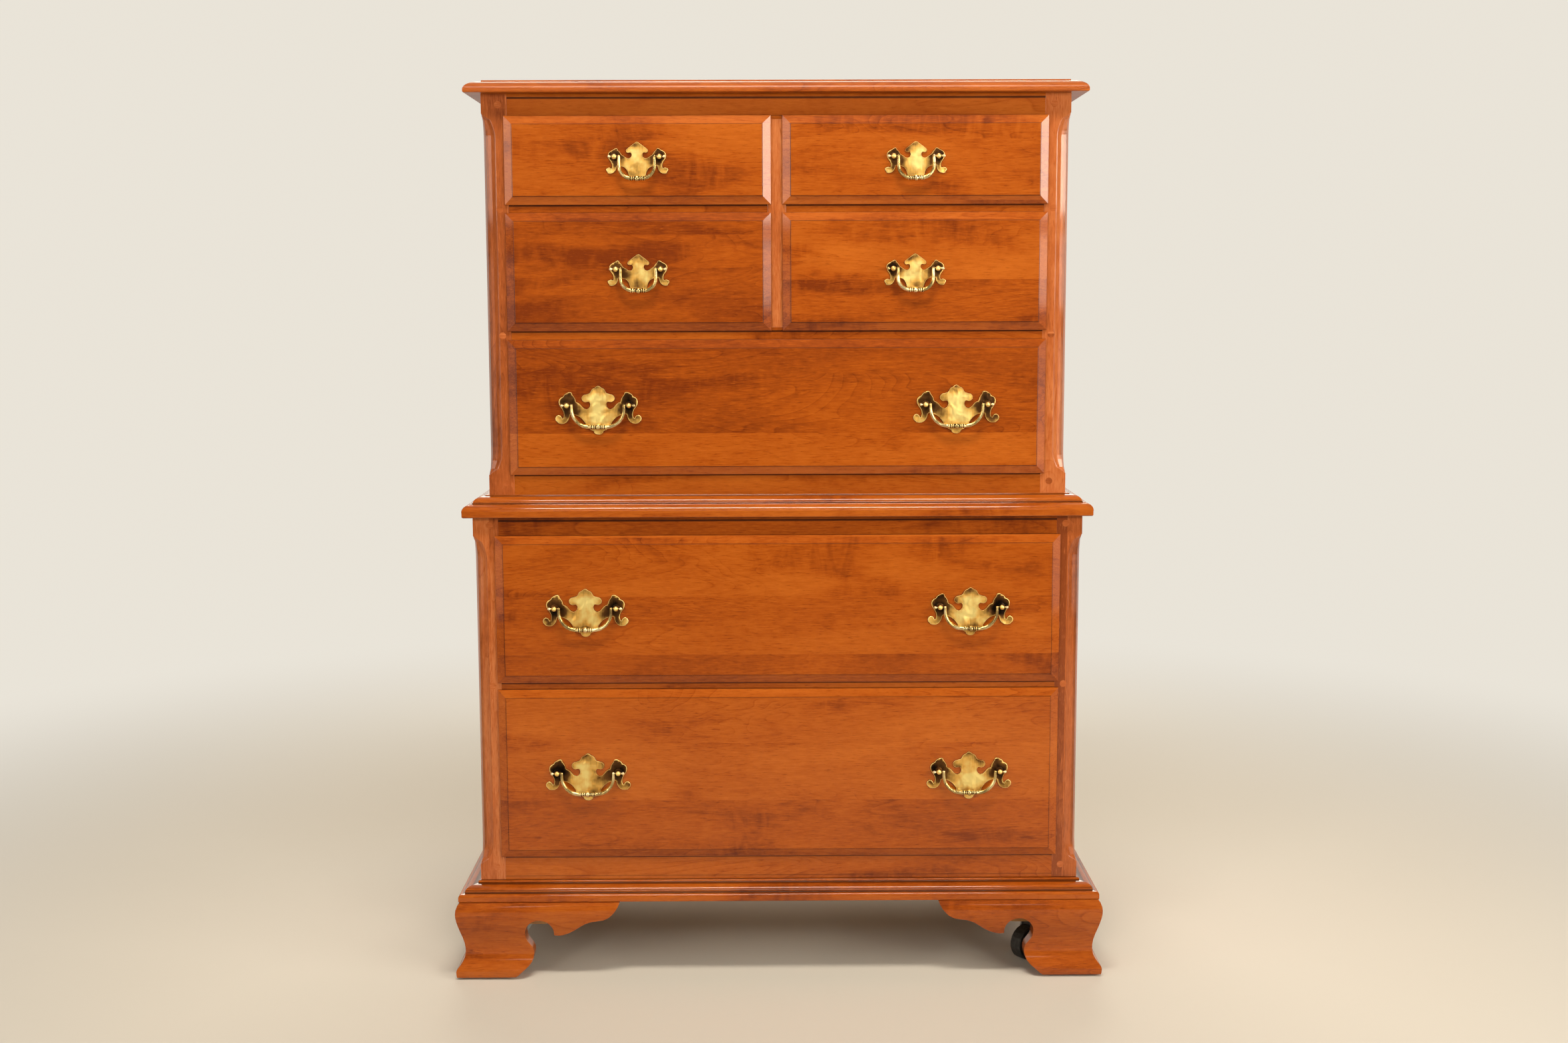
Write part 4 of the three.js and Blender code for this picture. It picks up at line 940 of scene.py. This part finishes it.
def drawer_box(name):
    """Sides with dovetails at both ends, a front and a back between them, and a bottom in their grooves.
    Behind the front, the nuts and ends of the pulls' posts show."""
    (x0, y0, z0), (x1, y1, z1) = span(f"drawer_{name}_box")
    node, body = f"drawer_{name}_box", f"drawer_{name}"
    between = (x0 + BOX_WALL + 0.1, x1 - BOX_WALL - 0.1)
    pieces = [
        board("left", (x0, x0 + BOX_WALL), (y0, y1), (z0, z1), "y"),
        board("right", (x1 - BOX_WALL, x1), (y0, y1), (z0, z1), "y"),
        board("front", between, (y0, y0 + BOX_WALL), (z0 + 0.2, z1 - 0.2), "x"),
        board("back", between, (y1 - BOX_WALL, y1 - 0.2), (z0 + 0.2, z1 - 3), "x"),
    ]
    dress(joined(f"{name}_drawer_box", pieces), lining, node, body=body)
    make_dovetails(name, (x0, x1), (y0, y1), (z0, z1))
    reach = (LARGE_BORE if name in WIDE_DRAWERS else SMALL_BORE) / 2
    posts = [
        (hinge.x + sign * reach, y0 + BOX_WALL - 0.1, hinge.z)
        for bail, hinge in hinges.items() if bail.startswith(f"bail_{name}") for sign in (-1, 1)
    ]
    for part, sides, radius, tall in (("nuts", 6, 4.4, 3.0), ("bolt_ends", 14, 2.0, 6.0)):
        sizes = (radius, radius - 0.3, tall)
        make_heads(f"{name}_post_{part}", posts, sides, sizes, -math.pi / 2, 3, steel, body)
    inset = BOX_WALL - BOTTOM_TONGUE
    sheet = board(
        f"{name}_drawer_bottom", (x0 + inset, x1 - inset), (y0 + inset, y1 - inset),
        (z0 + BOTTOM_UP, z0 + BOTTOM_UP + BOTTOM_THICK), "x", 0.2,
    )
    dress(sheet, bottom_ply, node, body=body)


for drawer in fronts:
    thumbnail_front(drawer)
    drawer_box(drawer)


# Pulls: half of each plate's outline from its top round to its foot, then the sizes of the parts.
LARGE_PLATE = [
    (0.0, 28.0), (2.4, 27.2), (4.9, 25.1), (7.5, 24.2), (9.6, 22.0), (11.0, 19.0), (12.6, 17.2),
    (15.0, 16.4), (17.4, 15.6), (20.2, 15.2), (22.6, 13.2), (23.9, 10.6), (23.4, 7.6), (21.2, 5.2),
    (18.4, 4.2), (15.6, 4.9), (13.4, 5.0), (12.0, 3.1), (11.6, 0.8), (12.2, -1.8), (14.2, -4.4),
    (17.0, -5.7), (20.2, -4.6), (22.6, -2.4), (25.8, 1.6), (28.6, 3.5), (31.6, 4.6), (32.3, 6.6),
    (33.0, 9.4), (35.0, 12.6), (37.2, 15.6), (37.6, 17.6), (39.6, 18.8), (42.6, 18.6), (45.8, 17.2),
    (48.6, 15.2), (50.2, 12.4), (53.4, 11.0), (55.8, 8.4), (56.7, 5.0), (56.2, 1.4), (54.4, -2.2),
    (52.0, -5.4), (50.0, -9.4), (49.3, -13.6), (50.2, -17.6), (51.8, -19.2), (52.8, -16.8), (54.8, -14.6),
    (57.8, -14.0), (60.6, -15.8), (61.9, -18.8), (61.3, -21.8), (58.9, -24.2), (57.2, -25.9), (53.4, -26.6),
    (49.4, -26.3), (45.8, -24.4), (43.2, -21.2), (41.6, -17.2), (40.9, -13.6), (38.6, -12.7), (35.2, -13.4),
    (31.2, -14.6), (27.6, -16.4), (24.2, -19.0), (21.2, -22.6), (18.6, -26.2), (18.2, -29.4), (16.4, -31.4),
    (13.6, -33.4), (11.4, -35.6), (8.6, -36.6), (7.0, -37.4), (6.4, -39.6), (4.2, -41.4), (2.0, -42.2),
    (0.0, -42.4),
]
SMALL_PLATE = [
    (0.0, 21.3), (2.2, 20.4), (4.6, 18.6), (7.4, 16.6), (10.0, 14.8), (12.4, 12.9), (14.8, 10.9),
    (15.8, 8.8), (15.0, 6.6), (12.8, 5.5), (10.8, 5.9), (9.2, 6.0), (8.0, 4.6), (7.7, 2.4), (8.6, 0.2),
    (10.4, -1.4), (12.6, -2.0), (14.8, -1.2), (17.0, 0.4), (19.2, 1.8), (21.6, 3.2), (22.8, 5.2),
    (24.4, 7.6), (26.6, 9.6), (27.4, 11.4), (29.2, 12.2), (31.6, 11.6), (33.6, 10.0), (36.2, 8.8),
    (38.8, 7.2), (40.6, 5.0), (41.2, 2.0), (40.6, -1.2), (38.8, -4.2), (36.8, -6.8), (35.6, -9.8),
    (35.3, -13.0), (35.9, -15.4), (37.4, -15.3), (39.2, -14.6), (41.2, -15.2), (42.9, -15.9), (44.0, -17.4),
    (43.2, -19.4), (42.0, -20.8), (41.4, -22.8), (38.6, -23.3), (35.6, -22.9), (32.8, -21.4), (30.6, -18.8),
    (29.4, -15.8), (28.9, -12.8), (26.2, -12.4), (22.9, -12.9), (19.8, -13.8), (17.0, -15.4), (14.9, -17.8),
    (13.4, -20.8), (12.5, -24.0), (11.8, -26.4), (9.0, -27.0), (5.7, -26.7), (2.8, -27.3), (0.0, -26.8),
]
PLATE_THICK, PLATE_BEVEL, PLATE_RIM, PLATE_CROWN = 1.8, 0.55, 1.5, 0.7
PLATE_MESH = 2.2
BAIL_STAND = 10.5
BALL_RADIUS, POST_RADIUS, FLANGE_RADIUS, POST_SIDES = 3.6, 2.6, 5.4, 24
PIN_RADIUS, WIRE_RADIUS, GRIP_RADIUS, WIRE_SIDES = 1.4, 2.0, 2.8, 20
TIP_OUT, TIP_RADIUS = 7.2, 2.3
SIDE_GAP = 1.2
LARGE_DROP, SMALL_DROP = 30.8, 30.2
# The bail's path from shoulder to grip: shares of half the bore, and of the drop.
LARGE_BEND = [
    (0.845, -0.16), (0.838, -0.3), (0.815, -0.45), (0.765, -0.6), (0.69, -0.745), (0.59, -0.87),
    (0.47, -0.955), (0.34, -0.995),
]
SMALL_BEND = [
    (0.79, -0.16), (0.79, -0.3), (0.79, -0.44), (0.775, -0.58), (0.72, -0.72), (0.62, -0.85),
    (0.49, -0.945), (0.34, -0.995),
]
# The grip's turnings: place across in mm, and radius against the grip's own.
TURNINGS = [
    (11.6, 1.0), (11.0, 1.16), (10.2, 1.16), (9.6, 0.94), (9.0, 0.92), (8.4, 1.12), (7.4, 1.18),
    (6.6, 1.04), (6.2, 0.86), (5.7, 0.86), (5.2, 1.06), (4.4, 1.1), (3.7, 0.92), (3.2, 0.9), (2.6, 1.2),
    (1.4, 1.46), (0.0, 1.5),
]


def inset(outline, depth):
    """Moves each corner of an outline inwards."""
    ahead = outline[1:] + outline[:1]
    turn = math.copysign(1, sum(a[0] * b[1] - b[0] * a[1] for a, b in zip(outline, ahead)))
    moved = []
    for i, (u, v) in enumerate(outline):
        before, here, after = Vector(outline[i - 1]), Vector((u, v)), Vector(ahead[i])
        along = ((here - before).normalized() + (after - here).normalized()).normalized()
        moved.append((u - along.y * turn * depth, v + along.x * turn * depth))
    return moved


def inside(point, loop, margin):
    """Whether a point is in an outline and at least margin from its edge."""
    hits = False
    for i, a in enumerate(loop):
        b = loop[(i + 1) % len(loop)]
        if (a.y > point.y) != (b.y > point.y):
            if point.x < (b.x - a.x) * (point.y - a.y) / (b.y - a.y) + a.x:
                hits = not hits
        edge = b - a
        share = max(0.0, min(1.0, (point - a).dot(edge) / max(edge.length_squared, 1e-9)))
        if (a + edge * share - point).length < margin:
            return False
    return hits


def pull_post(x, face, z):
    """A flange, a neck and a ball, with patina where polish can't reach."""
    profile = [
        (0.01, 0.0), (FLANGE_RADIUS, 0.0), (FLANGE_RADIUS, PLATE_THICK + 0.6),
        (FLANGE_RADIUS - 0.35, PLATE_THICK + 1.1), (FLANGE_RADIUS - 1.1, PLATE_THICK + 1.35),
        (POST_RADIUS + 0.5, PLATE_THICK + 1.45), (POST_RADIUS, PLATE_THICK + 2.1),
    ]
    for k in range(13):
        turn = math.radians(140 - 140 * k / 12)
        profile.append((max(0.01, BALL_RADIUS * math.sin(turn)), BAIL_STAND + BALL_RADIUS * math.cos(turn)))
    verts = [(x + a, face - along, z + b) for radius, along in profile for a, b in circle(radius, POST_SIDES)]
    patina = []
    for _, along in profile:
        patina += [0.8 if along < BAIL_STAND - 2.5 else 0.3 - 0.35 * (along > BAIL_STAND)] * POST_SIDES
    return mark(new_piece("post", verts, loft_faces(len(profile), POST_SIDES)), "patina", patina)


def make_plate(pull, body, outline_half, bore, hinge, face):
    """The open-work plate with a bevelled, bright rim and a faintly crowned middle, and its posts."""
    name = f"{pull}_back_plate"
    outline = outline_half + [(-u, v) for u, v in reversed(outline_half[1:-1])]
    count = len(outline)

    def crown(u, v):
        reach = min(1.0, math.hypot(u / (bore * 0.62), (v + bore * 0.08) / (bore * 0.62)))
        return PLATE_CROWN * (1 - reach * reach)

    # Each ring is an outline, its height, whether the crown lifts it, and its patina.
    rings = [
        (outline, 0.0, 0, 1.0), (outline, PLATE_THICK - PLATE_BEVEL, 0, 0.8),
        (inset(outline, PLATE_BEVEL * 0.35), PLATE_THICK - PLATE_BEVEL * 0.35, 0, -0.2),
        (inset(outline, PLATE_BEVEL), PLATE_THICK, 1, -0.1),
        (inset(outline, PLATE_RIM * 0.62), PLATE_THICK - 0.02, 1, 0.3),
    ]
    points = [
        (u, v, height + lifted * crown(u, v), dark) for ring, height, lifted, dark in rings for u, v in ring
    ]
    # The front is filled with a fine mesh, so that the crown is a real shape.
    loop = [Vector(p) for p in rings[-1][0]]
    reach = max(p.x for p in loop)
    grid = [
        Vector((-reach + i * PLATE_MESH, 30 - j * PLATE_MESH))
        for i in range(int(2 * reach / PLATE_MESH) + 1) for j in range(int(75 / PLATE_MESH))
    ]
    seeds = loop + [point for point in grid if inside(point, loop, 0.9)]
    edges = [(i, (i + 1) % count) for i in range(count)]
    found, _, triangles, _, _, _ = delaunay_2d_cdt(seeds, edges, [list(range(count))], 1, 1e-4)
    base = len(points)
    for u, v in found:
        near = min(math.hypot(abs(u) - bore / 2, v) / (bore * 0.3), 1.6)
        low = math.exp(-((v + 0.36 * bore) ** 2 / 90 + u * u / 260))
        crest = max(0.0, v / bore - 0.12) * 2.6
        dark = 0.95 * math.exp(-near * near * 1.3) + 0.3 * low + min(crest, 0.5) - 0.02
        points.append((u, v, PLATE_THICK - 0.02 + crown(u, v), dark))
    faces = loft_faces(len(rings), count, False)
    faces += [tuple(base + i for i in corners) for corners in triangles] + [tuple(reversed(range(count)))]
    plate = new_piece(name, [(hinge.x + u, face - height, hinge.z + v) for u, v, height, _ in points], faces)
    mark(plate, "patina", [dark for *_, dark in points])
    for sign in (-1, 1):
        plate = joined(name, [plate, pull_post(hinge.x + sign * bore / 2, face, hinge.z)])
    clean(plate, 2e-6)
    plate.data.shade_smooth()
    plate.data.set_sharp_from_angle(angle=math.radians(35))
    dress(plate, brass, f"pull_{pull}_plate", body=body)


def make_bail(pull, bend, drop, bore, hinge):
    """The bail: tips, pins through the balls, squared shoulders, swelling arms and a turned grip.
    Each station of a rod is its place in x and z, its radius and its patina."""
    half = bore / 2
    arm = half - BALL_RADIUS - SIDE_GAP - WIRE_RADIUS
    pin = [
        (half + TIP_OUT + TIP_RADIUS * math.cos(t), 0.0, max(0.05, TIP_RADIUS * math.sin(t)), -0.05)
        for t in (math.radians(a) for a in (2, 20, 40, 60, 80, 100, 120, 143))
    ]
    pin += [(x, 0.0, PIN_RADIUS, 0.6) for x in (half + BALL_RADIUS + 0.2, arm + WIRE_RADIUS + 0.25)]
    curve = [(arm, WIRE_RADIUS), (arm, WIRE_RADIUS - 0.35), (arm, -0.5), (arm * 0.995, -3.0)]
    curve += [(u * half, v * drop) for u, v in bend]
    right = []
    for i, (x, z) in enumerate(curve):
        swell = min(1.0, max(0.0, (i - 3) / (len(curve) - 4)))
        radius = (WIRE_RADIUS + (GRIP_RADIUS - WIRE_RADIUS) * swell) * (1 if i else 0.8)
        right.append((x, z, radius, 0.26 - 0.1 * swell))
    right += [(x, -drop, GRIP_RADIUS * r, 0.3 + (0.5 if r < 1 else -0.2)) for x, r in TURNINGS]
    left = [(-x, *rest) for x, *rest in reversed(right[:-1])]
    verts, patina, faces = [], [], []
    for stations, side in ((right + left, 1), (pin, -1), (pin, 1)):
        faces += [tuple(len(verts) + i for i in face) for face in loft_faces(len(stations), WIRE_SIDES)]
        for i, (x, z, radius, dark) in enumerate(stations):
            a, b = stations[max(i - 1, 0)], stations[min(i + 1, len(stations) - 1)]
            along = Vector((b[0] - a[0], b[1] - a[1])).normalized()
            for across, deep in circle(radius, WIRE_SIDES):
                verts.append((
                    hinge.x + side * (x - along.y * across), hinge.y + deep, hinge.z + z + along.x * across,
                ))
                patina.append(dark + (0.28 if deep > radius * 0.4 else 0))
    bail = mark(new_piece(f"{pull}_bail", verts, faces), "patina", patina)
    clean(bail, 0.0)
    bail.data.shade_smooth()
    bail.data.set_sharp_from_angle(angle=math.radians(50))
    dress(bail, bail_brass, f"pull_{pull}_bail", body=f"bail_{pull}")


for drawer, (front, _) in fronts.items():
    large = drawer in WIDE_DRAWERS
    outline, bend, drop, bore = (
        (LARGE_PLATE, LARGE_BEND, LARGE_DROP, LARGE_BORE) if large
        else (SMALL_PLATE, SMALL_BEND, SMALL_DROP, SMALL_BORE)
    )
    for side in ("_left", "_right") if large else ("",):
        pull = drawer + side
        hinge = hinges[f"bail_{pull}"]
        make_plate(pull, f"drawer_{drawer}", outline, bore, hinge, front.y - 0.05)
        make_bail(pull, bend, drop, bore, hinge)


# Casters: the CAD's own solids, in their real finishes.
for name, node in frame["nodes"].items():
    if name.startswith("caster_"):
        node.data.materials.clear()
        node.data.materials.append((rubber if name.endswith("wheel") else steel)[0])


# Floor, room, lamps and camera.
def shown(add, behind):
    """Where the room is pale: to the eye on all sides, and in gloss and glass on the side that lies
    behind the object. The side in front stays dim there, as the lacquer in the photo shows it."""
    eye, gloss, glass = (
        add("ShaderNodeLightPath", out=f"Is {ray} Ray") for ray in ("Camera", "Glossy", "Transmission")
    )
    behind = add(RANGE, {0: behind, 1: 0.0, 2: 0.3})
    bright = add(MATH, {0: gloss, 1: glass}, operation="MAXIMUM")
    bright = add(MATH, {0: bright, 1: behind}, operation="MULTIPLY")
    return add(MATH, {0: bright, 1: eye}, operation="MAXIMUM")


def painted_floor(add):
    """Matt pale paint. It shows light and shadow as they fall round the object, and far off it turns,
    to the eye and in gloss, into the same even pale tone as the room behind."""
    place = add(COORDINATE, out="Object")
    away = add("ShaderNodeVectorMath", {0: place}, out="Value", operation="LENGTH")
    away = add(RANGE, {0: away, 1: 0.9, 2: 2.6}, interpolation_type="SMOOTHSTEP")
    pale = shown(add, add(SEPARATE, {"Vector": place}, out="Y"))
    return add("ShaderNodeMixShader", {
        0: add(MATH, {0: away, 1: pale}, operation="MULTIPLY"),
        1: add(SURFACE, {"Base Color": srgb("#D0CBC1"), "Roughness": 0.9}),
        2: add("ShaderNodeEmission", {"Color": srgb(ROOM_TONE), "Strength": ROOM_LIGHT}),
    })


extent = (-FLOOR_HALF, FLOOR_HALF)
ground = clean(new_piece("floor", plan(extent, extent, 0), [(0, 1, 2, 3)]))
ground.data.materials.append(new_material("matt pale paint", painted_floor))


def make_room():
    """Dim, as the lacquer shows it, but pale behind the object, where no wall stands."""
    room = bpy.data.worlds.new("room")
    room.use_nodes = True
    room.node_tree.nodes.clear()
    bpy.context.scene.world = room
    add = partial(add_node, room.node_tree)
    pale = shown(add, add(SEPARATE, {"Vector": add(COORDINATE, out="Generated")}, out="Y"))
    strength = add(MATH, {0: pale, 1: ROOM_LIGHT - ROOM_DIM, 2: ROOM_DIM}, operation="MULTIPLY_ADD")
    sky = add("ShaderNodeBackground", {"Color": srgb(ROOM_TONE), "Strength": strength})
    add("ShaderNodeOutputWorld", {"Surface": sky})


def lamp(name, at, aim, size, power, spread=180.0):
    """A soft box: where it stands, what it faces, its size in mm, watts and spread in degrees."""
    light = bpy.data.lights.new(name, "AREA")
    light.shape = "RECTANGLE"
    light.size, light.size_y = size[0] * MM, size[1] * MM
    light.energy = power
    light.color = srgb(LAMP_TONE)[:3]
    light.spread = math.radians(spread)
    holder = bpy.data.objects.new(name, light)
    holder.location = Vector(at) * MM
    direction = (Vector(aim) - Vector(at)).normalized()
    holder.rotation_euler = direction.to_track_quat("-Z", "Y").to_euler()
    bpy.context.scene.collection.objects.link(holder)


def make_camera():
    yaw, pitch, roll = (math.radians(a) for a in (CAMERA_YAW, CAMERA_PITCH, CAMERA_ROLL))
    ahead = Vector((math.sin(yaw) * math.cos(pitch), math.cos(yaw) * math.cos(pitch), -math.sin(pitch)))
    right = Vector((math.cos(yaw), -math.sin(yaw), 0))
    up = right.cross(ahead)
    across = right * math.cos(roll) + up * math.sin(roll)
    above = up * math.cos(roll) - right * math.sin(roll)
    camera = bpy.data.cameras.new("camera")
    camera.sensor_width = SENSOR_WIDE
    camera.lens = FOCAL_PIXELS * SENSOR_WIDE / PHOTO_WIDE
    camera.clip_end = 50
    holder = bpy.data.objects.new("camera", camera)
    turned = Matrix((across, above, -ahead)).transposed()
    holder.matrix_world = Matrix.Translation(Vector(CAMERA_AT) * MM) @ turned.to_4x4()
    bpy.context.scene.collection.objects.link(holder)
    bpy.context.scene.camera = holder


lamp("left soft box", (-2300, -1750, 1480), (0, -200, 1100), (2000, 560), 14.5)
lamp("right soft box", (2300, -1750, 1400), (0, -200, 1100), (2000, 370), 38)
lamp("right middle card", (2300, -1750, 1060), (0, -200, 900), (2000, 200), 7)
lamp("right low card", (2300, -1750, 500), (0, -200, 500), (2000, 760), 9)
lamp("left low card", (-2300, -1750, 600), (0, -200, 500), (2000, 1000), 6)
lamp("left front fill", (-1750, -2850, 1250), (0, 0, 650), (500, 1500), 5.5, 100.0)
lamp("right front fill", (1750, -2850, 1250), (0, 0, 650), (500, 1500), 5.5, 100.0)
lamp("front card", (0, -3300, 1850), (0, 0, 1000), (1800, 300), 1.2, 70.0)
lamp("high strip", (0, -1500, 3350), (0, 0, 800), (1500, 500), 17, 80.0)
lamp("back soft box", (0, 3600, 2300), (0, 300, 600), (3000, 1600), 60, 120.0)
make_room()
make_camera()
bpy.context.scene.view_settings.view_transform = "Standard"
